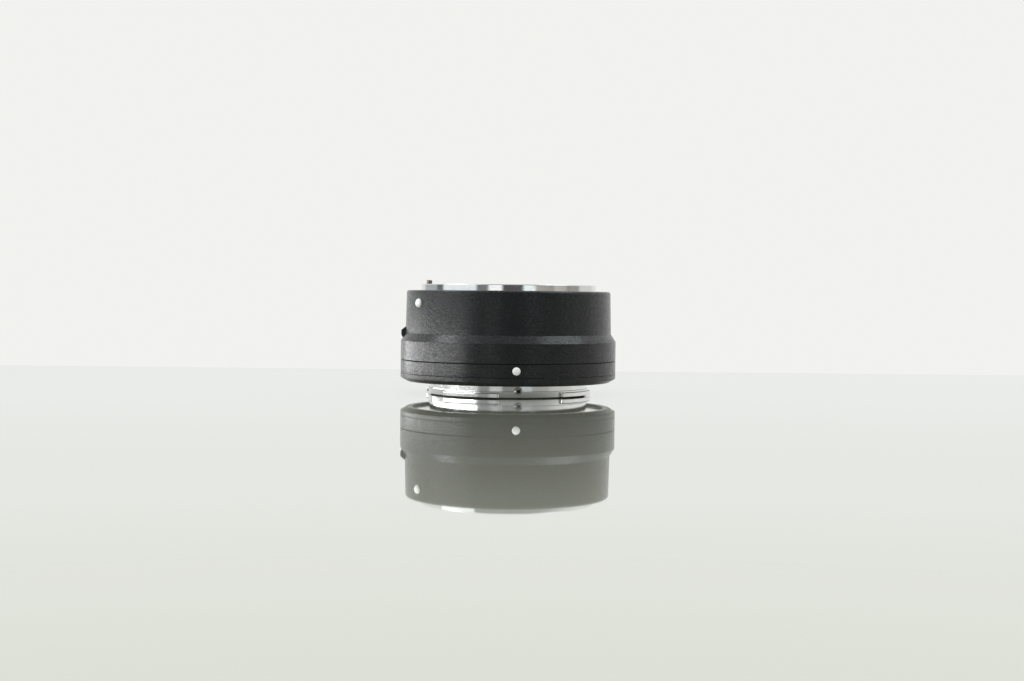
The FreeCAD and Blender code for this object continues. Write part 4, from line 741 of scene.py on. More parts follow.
def crinkle_paint(make, sizes, colours, lines=0.0, worn_edges=((SHOULDER_FOOT_Z, 0.8), (BODY_TOP_Z - 0.25, 1.0))):
    """Black wrinkle-finish paint: fine hard grains, a little rubbed along the edges, over turned lines."""
    place = make.place()
    out, angle, z = make.round_place(place)
    grain = sizes.grain / MM
    lumps = make.cells(place, grain * 0.9)
    fine = make.noise(place, grain * 0.5, 2.0, 0.6)
    coarse = make.noise(place, grain * 1.7, 1.0)
    broad = make.noise(place, 9.0, 3.0)
    turned = make.noise(make.vector(out * 3.0, z * 3.0, angle * 0.8), 1.0, 2.0, 0.6)
    height = (1.0 - lumps) * 0.8 + fine * 0.6
    rubbed = 0.0
    for edge_z, share in worn_edges:
        rubbed = rubbed + make.near(z, edge_z, 0.10, 0.22) * share
    rubbed = rubbed * make.ramp(height, 0.78, 1.05) * make.ramp(broad, 0.45, 0.68)
    tone = make.mix(make.ramp(broad, 0.3, 0.7) * 0.5, colours.paint, toned(colours.paint, 1.35))
    shine = (1.0 - lumps) * 0.5 + fine * 1.1 + coarse * 0.2 + turned * lines - lines * 0.5
    glint = make.ramp(shine, 0.79, 1.16)
    make.surface(
        Base_Color=make.mix(rubbed, tone, colours.worn_paint),
        Roughness=0.16 + fine * 0.17 - rubbed * 0.04,
        Specular_IOR_Level=0.17,
        Coat_Weight=0.26 + glint * 0.57,
        Coat_Roughness=0.25,
        Coat_IOR=1.5,
        Normal=make.bump(height + turned * lines, sizes.grain_depth / MM))


def trim_paint(make, sizes, colours):
    """The same paint over turned lines, rubbed along the ring's lower edge."""
    crinkle_paint(make, sizes, colours, 0.6, ((TRIM_SLOPE_Z, 0.9),))


def polished_metal(make, sizes, colours):
    """Plated brass with turning marks, faint smudges and hair scratches."""
    place = make.place()
    out, angle, z = make.round_place(place)
    turned = make.noise(make.vector(out * 5.5, z * 5.5, angle * 0.25), 1.0, 4.0, 0.65)
    smudge = make.noise(place, 3.5, 3.0, 0.55)
    hairs = make.noise(make.vector(out * 9.0, z * 9.0, angle * 5.0), 1.0, 2.0, 0.8)
    marks = make.ramp(smudge, 0.52, 0.75)
    scratch = make.ramp(hairs, 0.66, 0.72)
    make.surface(
        Base_Color=make.mix(marks * 0.25, colours.metal, toned(colours.metal, 0.82)),
        Metallic=1.0,
        Roughness=0.05 + turned * 0.08 + marks * 0.08 + scratch * 0.10,
        Normal=make.bump(turned + scratch * 0.3, 0.004))


def plain_steel(make, sizes, colours, tint=(1.0, 1.0, 1.0), rough=0.24):
    """Drawn or machined steel with a soft brushed grain."""
    place = make.place()
    brushed = make.noise(make.add("ShaderNodeVectorMath", {"operation": "MULTIPLY"},
                                  {0: place, 1: (9.0, 9.0, 1.6)}), 1.0, 3.0, 0.6)
    stain = make.noise(place, 1.6, 3.0)
    tone = [value * share for value, share in zip(colours.steel, tint)]
    make.surface(
        Base_Color=make.mix(make.ramp(stain, 0.4, 0.75) * 0.5, tone, toned(tone, 0.62)),
        Metallic=1.0,
        Roughness=rough + brushed * 0.14 + stain * 0.08,
        Normal=make.bump(brushed, 0.008))


def screw_steel(make, sizes, colours):
    """Bright screws; painted shade in the stop screw's hex recess: dark brown, less metallic and rougher."""
    place = make.place()
    x, y, z = make.split(place)
    turn = math.radians(STOP_THETA)
    across = x * math.cos(turn) + y * math.sin(turn)
    half = STOP_SOCKET_R * 0.9
    # Painted shade: a patch over the stop screw's hex recess, coloured dark brown to stand in for the shade that falls
    # there
    socket_shade = make.near(across, 0.0, half, 0.08) * make.near(z, STOP_Z, half, 0.08)
    socket_shade = socket_shade * make.near((x * x + y * y) ** 0.5, STOP_SEAT_R, 1.2, 0.2)
    smear = make.noise(place, 0.8, 3.0)
    steel = make.mix(smear * 0.4, colours.steel, toned(colours.steel, 0.7))
    make.surface(
        # Painted shade: dark brown base colour, less metal and more roughness in the stop screw's hex recess
        Base_Color=make.mix(socket_shade, steel, (0.15, 0.095, 0.05)),
        Metallic=1.0 - socket_shade * 0.9,
        Roughness=0.20 + smear * 0.08 + socket_shade * 0.25,
        Normal=make.bump(smear, 0.004))


def pin_steel(make, sizes, colours):
    """Pin steel, browned where the lens rubs past it."""
    plain_steel(make, sizes, colours, (0.42, 0.38, 0.335), 0.40)


def black_oxide(make, sizes, colours):
    """Blackened screw, with bright specks on its edges."""
    place = make.place()
    wear = make.ramp(make.noise(place, 0.35, 3.0), 0.60, 0.74)
    make.surface(
        Base_Color=make.mix(wear * 0.6, (0.02, 0.02, 0.022), (0.18, 0.175, 0.17)),
        Metallic=0.6 + wear * 0.3,
        Roughness=0.42 - wear * 0.12,
        Normal=make.bump(make.noise(place, 0.15), 0.006))


def throat_paint(make, sizes, colours):
    """Matt black that swallows light, with dust in its grooves."""
    place = make.place()
    specks = make.ramp(make.noise(place, 0.4, 2.0, 0.7), 0.69, 0.76)
    cloud = make.noise(place, 5.0, 3.0)
    make.surface(
        Base_Color=make.mix(specks * 0.35 + cloud * 0.1, (0.010, 0.010, 0.011), (0.11, 0.11, 0.105)),
        Roughness=0.62 + cloud * 0.2,
        Specular_IOR_Level=0.3,
        Normal=make.bump(make.noise(place, 0.12, 2.0), 0.012))


def knob_plastic(make, sizes, colours):
    """Hard black plastic, shinier on its ridges where a finger pushes it."""
    place = make.place()
    out = make.round_place(place)[0]
    worn = make.ramp(out, KNOB_R - 0.25, KNOB_R) * make.ramp(make.noise(place, 1.2, 2.0), 0.35, 0.65)
    pores = make.noise(place, 0.14, 2.0)
    make.surface(
        Base_Color=make.mix(worn * 0.5, (0.012, 0.012, 0.013), colours.worn_paint),
        Roughness=0.44 - worn * 0.14 + pores * 0.08,
        Specular_IOR_Level=0.4,
        Normal=make.bump(pores, 0.012))


def enamel_dot(make, sizes, colours):
    """Thick white enamel with a slight skin and a few grey specks."""
    place = make.place()
    skin = make.noise(place, 0.7, 2.0)
    specks = make.ramp(make.noise(place, 0.22, 1.0), 0.70, 0.78)
    make.surface(
        Base_Color=make.mix(specks * 0.25, colours.dot, toned(colours.dot, 0.7)),
        Roughness=0.30 + skin * 0.12,
        Coat_Weight=0.3,
        Normal=make.bump(skin, 0.02))


def gold_plate(make, sizes, colours):
    """Gold plating, rubbed along the middle of each contact."""
    place = make.place()
    rub = make.ramp(make.noise(place, 0.5, 3.0), 0.45, 0.7)
    make.surface(
        Base_Color=make.mix(rub * 0.4, colours.gold, toned(colours.gold, 0.75)),
        Metallic=1.0,
        Roughness=0.18 + rub * 0.16,
        Normal=make.bump(make.noise(place, 0.2, 2.0), 0.004))


def moulded(dark, light, rough, grain=0.3):
    """Maker of a plain moulded finish between two tones."""
    def build(make, sizes, colours):
        place = make.place()
        cloud = make.noise(place, 3.0, 3.0)
        pores = make.noise(place, grain, 2.0)
        make.surface(
            Base_Color=make.mix(cloud, dark, light),
            Roughness=rough + cloud * 0.12,
            Normal=make.bump(pores, 0.012))
    return build


def circuit_green(make, sizes, colours):
    """Green solder mask with raised copper runs."""
    place = make.place()
    x, y = make.split(place)[:2]
    copper = make.stripes(x * 1.3 + y * 0.2, 0.14, 0.08) * make.ramp(make.noise(place, 1.6, 1.0), 0.46, 0.52)
    make.surface(
        Base_Color=make.mix(copper, (0.012, 0.075, 0.03), (0.03, 0.16, 0.05)),
        Roughness=0.34 - copper * 0.08,
        Coat_Weight=0.4,
        Normal=make.bump(copper, 0.03))


def ribbon_film(make, sizes, colours):
    """Amber film with copper runs along it."""
    place = make.place()
    runs = make.stripes(make.split(place)[0] * 1.6, 0.22, 0.06)
    make.surface(
        Base_Color=make.mix(runs * 0.75, (0.50, 0.20, 0.03), (0.28, 0.12, 0.03)),
        Roughness=0.28 + make.noise(place, 1.5, 2.0) * 0.1,
        Normal=make.bump(runs, 0.02))


FINISHES = {
    "crinkle_black": crinkle_paint,
    "trim_black": trim_paint,
    "baffle_black": throat_paint,
    "screw_black": black_oxide,
    "polished_mount": polished_metal,
    "screw_steel": screw_steel,
    "spring_steel": plain_steel,
    "pin_steel": pin_steel,
    "motor_can": plain_steel,
    "throat_black": throat_paint,
    "knob_black": knob_plastic,
    "chip_black": moulded((0.010, 0.010, 0.011), (0.022, 0.022, 0.024), 0.45),
    "board_green": circuit_green,
    "gear_nylon": moulded((0.62, 0.60, 0.53), (0.74, 0.72, 0.64), 0.42),
    "ribbon_amber": ribbon_film,
    "dot_white": enamel_dot,
    "contact_gold": gold_plate,
}


def finish(context, slot):
    """The material of one of the record's slots, made when it is first asked for."""
    known = bpy.data.materials.get(slot)
    if known is not None and known.get("adapter_finish"):
        return known
    material = bpy.data.materials.new(slot)
    material.use_nodes = True
    material["adapter_finish"] = True
    make = Shading(material.node_tree, "ShaderNodeOutputMaterial")
    FINISHES[slot](make, context.scene.adapter_sizes, context.scene.adapter_colours)
    return material


# Pieces

def barrel_radius(z):
    """Outer radius of the tapered barrel at a height."""
    share = (z - SHOULDER_TOP_Z) / (BODY_TOP_Z - SHOULDER_TOP_Z)
    return BARREL_FOOT_R + share * (BARREL_TOP_R - BARREL_FOOT_R)


def dot_hole(radius, surface_r, theta, z):
    return placed(rod(radius + THREAD, -DOT_RECESS, PAST), outward(surface_r, theta, z))


def countersink(face_z, way, length):
    """Cutter of a countersunk hole that opens at face_z; way is -1 for a hole that goes down."""
    head, shank = SCREW_HEAD_R + THREAD, SCREW_SHANK_R + THREAD
    neck = SCREW_SINK + SCREW_HEAD_R - SCREW_SHANK_R
    outline = [(0, -PAST), (head, -PAST), (head, SCREW_SINK), (shank, neck), (shank, length + FIT), (0, length + FIT)]
    return lathe([(radius, face_z + way * depth) for radius, depth in outline], columns=SMALL_COLUMNS)


def sunk_screw(face_z, way, length):
    """Countersunk screw with a rounded rim and a cross recess."""
    neck = SCREW_SINK + SCREW_HEAD_R - SCREW_SHANK_R
    outline = [(0, SCREW_SINK), (SCREW_HEAD_R, SCREW_SINK, 0.06), (SCREW_SHANK_R, neck), (SCREW_SHANK_R, length, 0.1),
               (0, length)]
    form = lathe([(corner[0], face_z + way * corner[1]) + tuple(corner[2:]) for corner in outline],
                 columns=SMALL_COLUMNS)
    screw = as_piece("screw", form)
    arms = []
    top = face_z + way * (SCREW_SINK - PAST)
    foot = face_z + way * (SCREW_SINK + CROSS_DEPTH)
    for turn in (0.0, 90.0):
        form = bmesh.new()
        bmesh.ops.create_cube(form, size=1.0)
        for vert in form.verts:
            deep = vert.co.z > 0
            along, across = CROSS_FOOT_SHARES if deep else CROSS_MOUTH_SHARES
            vert.co = Vector((math.copysign(CROSS_LENGTH * along, vert.co.x),
                              math.copysign(CROSS_WIDTH * across, vert.co.y), foot if deep else top))
        bmesh.ops.recalc_face_normals(form, faces=form.faces)
        form.transform(Matrix.Rotation(math.radians(turn), 4, "Z"))
        arms.append(form)
    carved(screw, arms[0])
    carved(screw, arms[1])
    return taken_back(screw)


def taken_back(piece):
    """The form of a piece, which is then removed."""
    form = bmesh.new()
    form.from_mesh(piece.data)
    mesh = piece.data
    bpy.data.objects.remove(piece)
    bpy.data.meshes.remove(mesh)
    return form


def build_front_barrel(context):
    sizes = context.scene.adapter_sizes
    band_r = sizes.band_radius / MM
    barrel = as_piece("front_barrel_skin", lathe([
        (BAND_BORE_R, SEAM_Z),
        (band_r - sizes.seam_depth / MM, SEAM_Z),
        (band_r, SEAM_Z + SEAM_HALF_WIDTH, 0.08),
        (band_r, SHOULDER_FOOT_Z, sizes.band_round / MM),
        (BARREL_FOOT_R, SHOULDER_TOP_Z, 0.35),
        (barrel_radius(BODY_TOP_Z), BODY_TOP_Z, sizes.edge_round / MM),
        (LENS_RING_R + FIT, BODY_TOP_Z, 0.06),
        (LENS_RING_R + FIT, LENS_SEAT_Z),
        (DECK_BORE_R, LENS_SEAT_Z),
        (DECK_BORE_R, DECK_UNDER_Z),
        (BARREL_BORE_R, DECK_UNDER_Z, 0.5),
        (BARREL_BORE_R, BOSS_SPLIT_Z),
        (BAND_BORE_R, BOSS_SPLIT_Z),
    ]))
    pocket_turn = math.degrees((sizes.knob_width / MM + 2 * POCKET_GAP) / KNOB_R)
    pocket = lathe(oblong(KNOB_INNER_R - FIT, band_r + PAST, KNOB_Z - LOCK_TRAVEL - POCKET_GAP, KNOB_TOP_Z + POCKET_GAP,
                          (0.25, 0.0, 0.0, 0.25)), pocket_turn, LOCK_THETA, FINE_COLUMNS)
    slot = slab(STEM_WIDTH + 2 * STEM_GAP, BARREL_BORE_R - PAST, KNOB_INNER_R + PAST,
                STEM_LOW_Z - LOCK_TRAVEL - POCKET_GAP, STEM_TOP_Z + POCKET_GAP, LOCK_THETA)
    notch = slab(2 * PIN_COLLAR_R + 2 * STEM_GAP, DECK_BORE_R - PAST, PIN_CIRCLE_R + PIN_COLLAR_R + STEM_GAP,
                 DECK_UNDER_Z - PAST, LENS_SEAT_Z + STEM_GAP, LOCK_THETA)
    dot = dot_hole(sizes.lens_dot_radius / MM, barrel_radius(LENS_DOT_Z), LENS_DOT_THETA, LENS_DOT_Z)
    carved(barrel, pocket, notch, dot)
    carved(barrel, slot)
    handed_over(context, barrel, "housing", "front_barrel")


def build_rear_barrel(context):
    sizes = context.scene.adapter_sizes
    band_r = sizes.band_radius / MM
    flange_r = CAMERA_FLANGE_R + FIT + HAIR
    barrel = as_piece("rear_barrel_skin", lathe([
        (CAMERA_BORE_R + REAR_BORE_STEP, FLOOR_UNDER_Z),
        (flange_r, FLOOR_UNDER_Z),
        (flange_r, TRIM_TOP_Z),
        (band_r - TRIM_SEAM_DEPTH, TRIM_TOP_Z),
        (band_r, TRIM_TOP_Z + TRIM_SEAM_HALF_WIDTH, 0.06),
        (band_r, SEAM_Z - SEAM_HALF_WIDTH, 0.08),
        (band_r - sizes.seam_depth / MM, SEAM_Z),
        (BAND_BORE_R - HAIR, SEAM_Z),
        (BAND_BORE_R - HAIR, SPIGOT_TOP_Z - SPIGOT_DROP),
        (BARREL_BORE_R, SPIGOT_TOP_Z - SPIGOT_DROP),
        (BARREL_BORE_R, FLOOR_TOP_Z, 0.4),
        (BAFFLE_R + FIT, FLOOR_TOP_Z),
        (BAFFLE_R + FIT, BAFFLE_Z),
        (CAMERA_BORE_R + REAR_BORE_STEP, BAFFLE_Z),
    ]))
    carved(barrel, dot_hole(sizes.camera_dot_radius / MM, band_r, CAMERA_DOT_THETA, CAMERA_DOT_Z))
    handed_over(context, barrel, "housing", "rear_barrel")


def build_trim_ring(context):
    band_r = context.scene.adapter_sizes.band_radius / MM
    inner = CAMERA_FLANGE_R + FIT
    lip = CAMERA_FLANGE_INNER_STEP_R + FIT
    trim = as_piece("rear_trim_skin", lathe([
        (inner, TRIM_RIM_Z, 0.1),
        (TRIM_RIM_R, TRIM_RIM_Z, 0.18),
        (band_r, TRIM_SLOPE_Z, 0.16),
        (band_r, TRIM_TOP_Z - TRIM_SEAM_HALF_WIDTH, 0.06),
        (band_r - TRIM_SEAM_DEPTH, TRIM_TOP_Z),
        (inner + FIT, TRIM_TOP_Z),
        (inner + FIT, FLOOR_UNDER_Z),
        (lip, FLOOR_UNDER_Z),
        (lip, TRIM_STEP_Z),
        (inner, TRIM_STEP_Z),
    ]))
    handed_over(context, trim, "housing", "rear_trim_ring")


def build_lens_ring(context):
    sizes = context.scene.adapter_sizes
    ring = as_piece("lens_ring_polished", lathe([
        (THROAT_R, LENS_SKIRT_Z, 0.1),
        (LENS_SKIRT_R, LENS_SKIRT_Z, 0.1),
        (LENS_SKIRT_R, LENS_SEAT_Z),
        (LENS_RING_R, LENS_SEAT_Z, 0.06),
        (LENS_RING_R, LENS_FLANGE_Z, 0.22),
        (THROAT_R, LENS_FLANGE_Z, 0.2),
    ]))
    outline = oblong(LENS_TAB_R, THROAT_R + LENS_TAB_OVERLAP, LENS_TAB_UNDER_Z, LENS_FLANGE_Z, (0.1, 0.0, 0.0, 0.2))
    tab_turn = math.degrees(sizes.lens_tab_width)
    welded(ring, *[lathe(outline, tab_turn, centre) for centre in LENS_TAB_CENTRES])
    holes = ringed(countersink(LENS_FLANGE_Z, -1, LENS_SCREW_LENGTH), LENS_SCREW_R, *LENS_SCREW_THETAS)
    pin_hole = ringed(rod(PIN_R + FIT, LENS_SKIRT_Z, LENS_FLANGE_Z + PAST), PIN_CIRCLE_R, LOCK_THETA)
    carved(ring, holes, pin_hole)
    handed_over(context, ring, "housing", "lens_mount_ring")


def camera_tab(centre, width, corner):
    """Bayonet tab whose two outer corners are rounded in plan and whose edges are softened."""
    half = width / 2
    steps = [corner * (1 - math.cos(math.radians(90.0 / TAB_CORNER_STEPS * step)))
             for step in range(TAB_CORNER_STEPS + 1)]
    inward = [math.degrees(step / CAMERA_TAB_R) for step in steps]
    middle = [-half + inward[-1] + (width - 2 * inward[-1]) * index / CAMERA_TAB_COLUMNS
              for index in range(1, CAMERA_TAB_COLUMNS)]
    thetas = [-half + angle for angle in inward] + middle + [half - angle for angle in reversed(inward)]
    outlines = []
    for theta in thetas:
        edge = min(half - abs(theta), inward[-1]) / inward[-1] * corner
        outer = CAMERA_TAB_R - corner + math.sqrt(max(0.0, corner ** 2 - (corner - edge) ** 2))
        outlines.append(rounded(oblong(
            NECK_R - CAMERA_TAB_OVERLAP, outer, CAMERA_TAB_Z, CAMERA_TAB_TOP_Z, (0.0, 0.15, 0.35, 0.0))))
    return sweep_round(outlines, [centre + theta for theta in thetas], False)


def build_camera_mount(context):
    sizes = context.scene.adapter_sizes
    mount = as_piece("camera_mount_polished", lathe([
        (CAMERA_BORE_R, 0.0, 0.3),
        (CAMERA_RIM_R, 0.0, 0.15),
        (PILOT_R - PILOT_DRAFT, CAMERA_TAB_Z, 0.12),
        (PILOT_R, PILOT_Z, 0.16),
        (NECK_R, PILOT_Z),
        (NECK_R, CAMERA_FLANGE_Z, 0.08),
        (CAMERA_FLANGE_R, CAMERA_FLANGE_Z, 0.15),
        (CAMERA_FLANGE_R, TRIM_STEP_Z),
        (CAMERA_FLANGE_INNER_STEP_R, TRIM_STEP_Z),
        (CAMERA_FLANGE_INNER_STEP_R, FLOOR_UNDER_Z),
        (CAMERA_BORE_R, FLOOR_UNDER_Z),
    ]))
    width = math.degrees(sizes.camera_tab_width)
    welded(mount, *[camera_tab(centre, width, sizes.tab_corner / MM) for centre in CAMERA_TAB_CENTRES])
    holes = ringed(countersink(CAMERA_FLANGE_Z, 1, CAMERA_SCREW_LENGTH), CAMERA_SCREW_R, *CAMERA_SCREW_THETAS)
    stop_place = outward(STOP_SEAT_R, STOP_THETA, STOP_Z)
    carved(mount, holes, placed(rod(STOP_HEAD_R + STOP_SEAT_GAP, 0, 3 * PAST), stop_place))
    carved(mount, placed(rod(STOP_SHANK_R + THREAD, -4 * PAST, PAST), stop_place))
    handed_over(context, mount, "housing", "camera_mount")


def build_mount_screws(context):
    lens = ringed(sunk_screw(LENS_FLANGE_Z, -1, LENS_SCREW_LENGTH), LENS_SCREW_R, *LENS_SCREW_THETAS)
    handed_over(context, as_piece("lens_ring_screws", lens), "housing", "lens_mount_screws")
    camera = ringed(sunk_screw(CAMERA_FLANGE_Z, 1, CAMERA_SCREW_LENGTH), CAMERA_SCREW_R, *CAMERA_SCREW_THETAS)
    handed_over(context, as_piece("camera_flange_screws", camera), "housing", "camera_mount_screws")
    shank_length = STOP_SEAT_R - CAMERA_BORE_R - FIT
    stop = as_piece("stop_screw_turned", lathe([
        (0, -shank_length),
        (STOP_SHANK_R, -shank_length, 0.1),
        (STOP_SHANK_R, 0),
        (STOP_HEAD_R, 0),
        (STOP_HEAD_R, STOP_HEAD_HEIGHT, 0.30),
        (0, STOP_HEAD_HEIGHT),
    ], columns=ROUND_COLUMNS))
    carved(stop, lathe([
        (0, STOP_HEAD_HEIGHT - STOP_SOCKET_TIP_DEPTH),
        (STOP_SOCKET_R, STOP_HEAD_HEIGHT - STOP_SOCKET_DEPTH),
        (STOP_SOCKET_R, STOP_HEAD_HEIGHT + PAST),
        (0, STOP_HEAD_HEIGHT + PAST),
    ], columns=6))
    stop.data.transform(outward(STOP_SEAT_R, STOP_THETA, STOP_Z))
    handed_over(context, stop, "housing", "bayonet_stop_screw")


def build_release(context):
    sizes = context.scene.adapter_sizes
    outline = [
        (KNOB_INNER_R, KNOB_Z),
        (KNOB_LIP_R - (KNOB_LIP_Z - KNOB_Z), KNOB_Z, 0.12),
        (KNOB_LIP_R, KNOB_LIP_Z, 0.15),
        (KNOB_R, KNOB_EDGE_Z, 0.08),
    ]
    for share in KNOB_GROOVE_SHARES:
        z = KNOB_EDGE_Z + share * (KNOB_SLOPE_Z - KNOB_EDGE_Z)
        outline += [(KNOB_R, z - KNOB_GROOVE), (KNOB_R - KNOB_GROOVE, z), (KNOB_R, z + KNOB_GROOVE)]
    outline += [(KNOB_R, KNOB_SLOPE_Z, 0.15), (BARREL_FOOT_R, KNOB_TOP_Z, 0.12), (KNOB_INNER_R, KNOB_TOP_Z)]
    turn = math.degrees(sizes.knob_width / MM / KNOB_R)
    knob = as_piece("release_knob_cap", softened(lathe(outline, turn, LOCK_THETA), 0.14, 60.0))
    welded(knob, slab(STEM_WIDTH, STEM_INNER_R, KNOB_INNER_R + FIT, STEM_LOW_Z, STEM_TOP_Z, LOCK_THETA))
    handed_over(context, knob, "release", "release_knob")
    collar_z = LENS_SEAT_Z - FIT
    pin = lathe([
        (0, PIN_FOOT_Z),
        (PIN_R, PIN_FOOT_Z),
        (PIN_R, collar_z - PIN_COLLAR_HEIGHT),
        (PIN_COLLAR_R, collar_z - PIN_COLLAR_HEIGHT, 0.08),
        (PIN_COLLAR_R, collar_z, 0.08),
        (PIN_R, collar_z),
        (PIN_R, PIN_TIP_Z, 0.24),
        (0, PIN_TIP_Z),
    ], columns=ROUND_COLUMNS)
    pin.transform(standing(PIN_CIRCLE_R, LOCK_THETA))
    handed_over(context, as_piece("lock_pin_turned", pin), "release", "lock_pin")


def build_sleeve(context):
    sizes = context.scene.adapter_sizes
    pitch, depth = sizes.rib_pitch / MM, sizes.rib_depth / MM
    outline = [
        (SLEEVE_BORE_R, SLEEVE_FOOT_Z),
        (SLEEVE_FOOT_OUTER_R, SLEEVE_FOOT_Z),
        (SLEEVE_FOOT_OUTER_R, SLEEVE_SHOULDER_Z),
        (SLEEVE_TOP_OUTER_R, SLEEVE_SHOULDER_Z),
        (SLEEVE_TOP_OUTER_R, LENS_SKIRT_Z, 0.1),
        (SLEEVE_BORE_R, LENS_SKIRT_Z, 0.2),
    ]
    for index in reversed(range(RIB_COUNT)):
        foot = RIB_FIRST_Z + index * pitch
        outline += [(SLEEVE_BORE_R, foot + pitch, 0.05), (SLEEVE_BORE_R + depth, foot + pitch / 2, 0.05)]
    outline.append((SLEEVE_BORE_R, RIB_FIRST_Z))
    sleeve = as_piece("throat_sleeve", lathe(outline))
    shelf = lathe(oblong(SHELF_INNER_R, SLEEVE_BORE_R + depth + SHELF_OVERLAP, SHELF_Z, SLEEVE_SHOULDER_Z,
                         (0.15, 0.0, 0.0, 0.1)), 2 * CONTACT_HALF_ANGLE + 2)
    ear = oblong(SLEEVE_FOOT_OUTER_R - EAR_OVERLAP, SLEEVE_FOOT_OUTER_R + EAR_REACH,
                 SLEEVE_FOOT_Z, SLEEVE_FOOT_Z + EAR_HEIGHT)
    welded(sleeve, shelf, *[softened(lathe(ear, EAR_TURN, theta), 0.1) for theta in EAR_THETAS])
    slot = oblong(SLEEVE_BORE_R - PAST, SLEEVE_TOP_OUTER_R + PAST,
                  SLEEVE_SHOULDER_Z, SLEEVE_SHOULDER_Z + LEVER_SLOT_HEIGHT)
    carved(sleeve, lathe(slot, LEVER_SLOT_TURN, LEVER_THETA + LEVER_SLOT_OFFSET))
    handed_over(context, sleeve, "housing", "inner_sleeve")


def pan_holes(circle, low, high):
    return [ringed(rod(PAN_HOLE_R, low, high, TINY_COLUMNS), circle, theta) for theta in BLOCK_SCREW_THETAS]


def build_contacts(context):
    thetas = spread(CONTACT_COUNT, CONTACT_PITCH)
    block = as_piece("lens_contact_moulding", softened(lathe(
        oblong(CONTACT_INNER_R, CONTACT_OUTER_R, SLEEVE_SHOULDER_Z, CONTACT_TOP_Z, (0.0, 0.0, 0.2, 0.3)),
        2 * CONTACT_HALF_ANGLE), 0.25, 60.0))
    tail = oblong(TAIL_INNER_R, TAIL_OUTER_R, CONTACT_TAIL_Z, SLEEVE_SHOULDER_Z + TAIL_OVERLAP)
    welded(block, lathe(tail, TAIL_TURN))
    wells = ringed(lathe([
        (0, CONTACT_LID_Z - WELL_DEPTH),
        (CONTACT_COLLAR_R + HAIR, CONTACT_LID_Z - WELL_DEPTH),
        (CONTACT_COLLAR_R + HAIR, CONTACT_LID_Z),
        (CONTACT_PIN_R + HAIR, CONTACT_LID_Z),
        (CONTACT_PIN_R + HAIR, CONTACT_TOP_Z - 0.12),
        (CONTACT_PIN_R + WELL_MOUTH_GAP, CONTACT_TOP_Z + 0.03),
        (CONTACT_PIN_R + WELL_MOUTH_GAP, CONTACT_TOP_Z + PAST),
        (0, CONTACT_TOP_Z + PAST),
    ], columns=TINY_COLUMNS), CONTACT_CIRCLE_R, *thetas)
    carved(block, wells, *pan_holes(CONTACT_CIRCLE_R, CONTACT_TOP_Z - PAN_HOLE_DEPTH, CONTACT_TOP_Z + PAST))
    handed_over(context, block, "housing", "lens_contact_block")

    collar_z = CONTACT_LID_Z - HAIR
    pins = ringed(lathe([
        (0, collar_z - CONTACT_COLLAR_HEIGHT),
        (CONTACT_COLLAR_R, collar_z - CONTACT_COLLAR_HEIGHT),
        (CONTACT_COLLAR_R, collar_z),
        (CONTACT_PIN_R, collar_z),
        (CONTACT_PIN_R, CONTACT_TIP_Z, 0.42),
        (0, CONTACT_TIP_Z),
    ], columns=TINY_COLUMNS), CONTACT_CIRCLE_R, *thetas)
    handed_over(context, as_piece("lens_contact_noses", pins), "contact_pins", "lens_contact_pins")

    camera_block = as_piece("camera_contact_moulding", softened(lathe(
        oblong(CAMERA_BLOCK_INNER_R, CAMERA_BLOCK_OUTER_R, CAMERA_BLOCK_Z, CAMERA_BLOCK_TOP_Z, (0.3, 0.2, 0.0, 0.0)),
        2 * CAMERA_BLOCK_HALF_ANGLE), 0.2, 60.0))
    pad_thetas = spread(PAD_COUNT, PAD_PITCH)
    inner, outer = PAD_CIRCLE_R - PAD_LENGTH / 2, PAD_CIRCLE_R + PAD_LENGTH / 2
    seats = [slab(PAD_WIDTH, inner, outer, PAD_Z - PAST, PAD_TOP_Z, theta) for theta in pad_thetas]
    carved(camera_block, *seats, *pan_holes(PAD_CIRCLE_R, CAMERA_BLOCK_Z - PAST, CAMERA_BLOCK_Z + PAN_HOLE_DEPTH))
    handed_over(context, camera_block, "housing", "camera_contact_block")
    pads = joined([softened(slab(PAD_WIDTH, inner, outer, PAD_Z, PAD_TOP_Z, theta), 0.06) for theta in pad_thetas])
    handed_over(context, as_piece("camera_contact_lands", pads), "housing", "camera_contact_pads")


def build_springs(context):
    """The coils of the release and the lens side contacts, built at rest; nothing here makes them shorten as the
    release and the contact pins go down.
    """
    low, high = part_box("lock_spring")
    lock = coil(LOCK_WIRE_R, (high.y - low.y) / 2 / MM - LOCK_WIRE_R, LOCK_COIL_TURNS,
                LOCK_SPRING_Z, LOCK_SPRING_TOP_Z - SPRING_FIT)
    lock = ringed(lock, -(low.x + high.x) / 2 / MM, LOCK_THETA)
    contact = coil(CONTACT_WIRE_R, CONTACT_COLLAR_R - CONTACT_WIRE_R - SPRING_FIT, CONTACT_COIL_TURNS,
                   CONTACT_SPRING_Z, CONTACT_SPRING_TOP_Z - SPRING_FIT)
    contact = ringed(contact, CONTACT_CIRCLE_R, *spread(CONTACT_COUNT, CONTACT_PITCH))
    for name, form, node, joint, travel in (
            ("lock_coil", lock, "lock_spring", "release_slide", LOCK_TRAVEL),
            ("contact_coils", contact, "lens_contact_springs", "contact_press", CONTACT_TRAVEL)):
        spring = handed_over(context, as_piece(name, form), "housing", node)
        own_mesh(spring)


def build_lever(context):
    lever = as_piece("aperture_finger", softened(
        slab(LEVER_WIDTH, LEVER_INNER_R, LEVER_OUTER_R, LEVER_Z, LEVER_Z + LEVER_THICKNESS, LEVER_THETA), 0.08))
    welded(lever, softened(
        slab(LEVER_WIDTH - 2 * LEVER_INSET, LEVER_INNER_R + LEVER_INSET, LEVER_INNER_R + LEVER_FINGER,
             LEVER_Z + 0.1, LEVER_TOP_Z, LEVER_THETA), 0.2))
    handed_over(context, lever, "aperture", "aperture_lever")


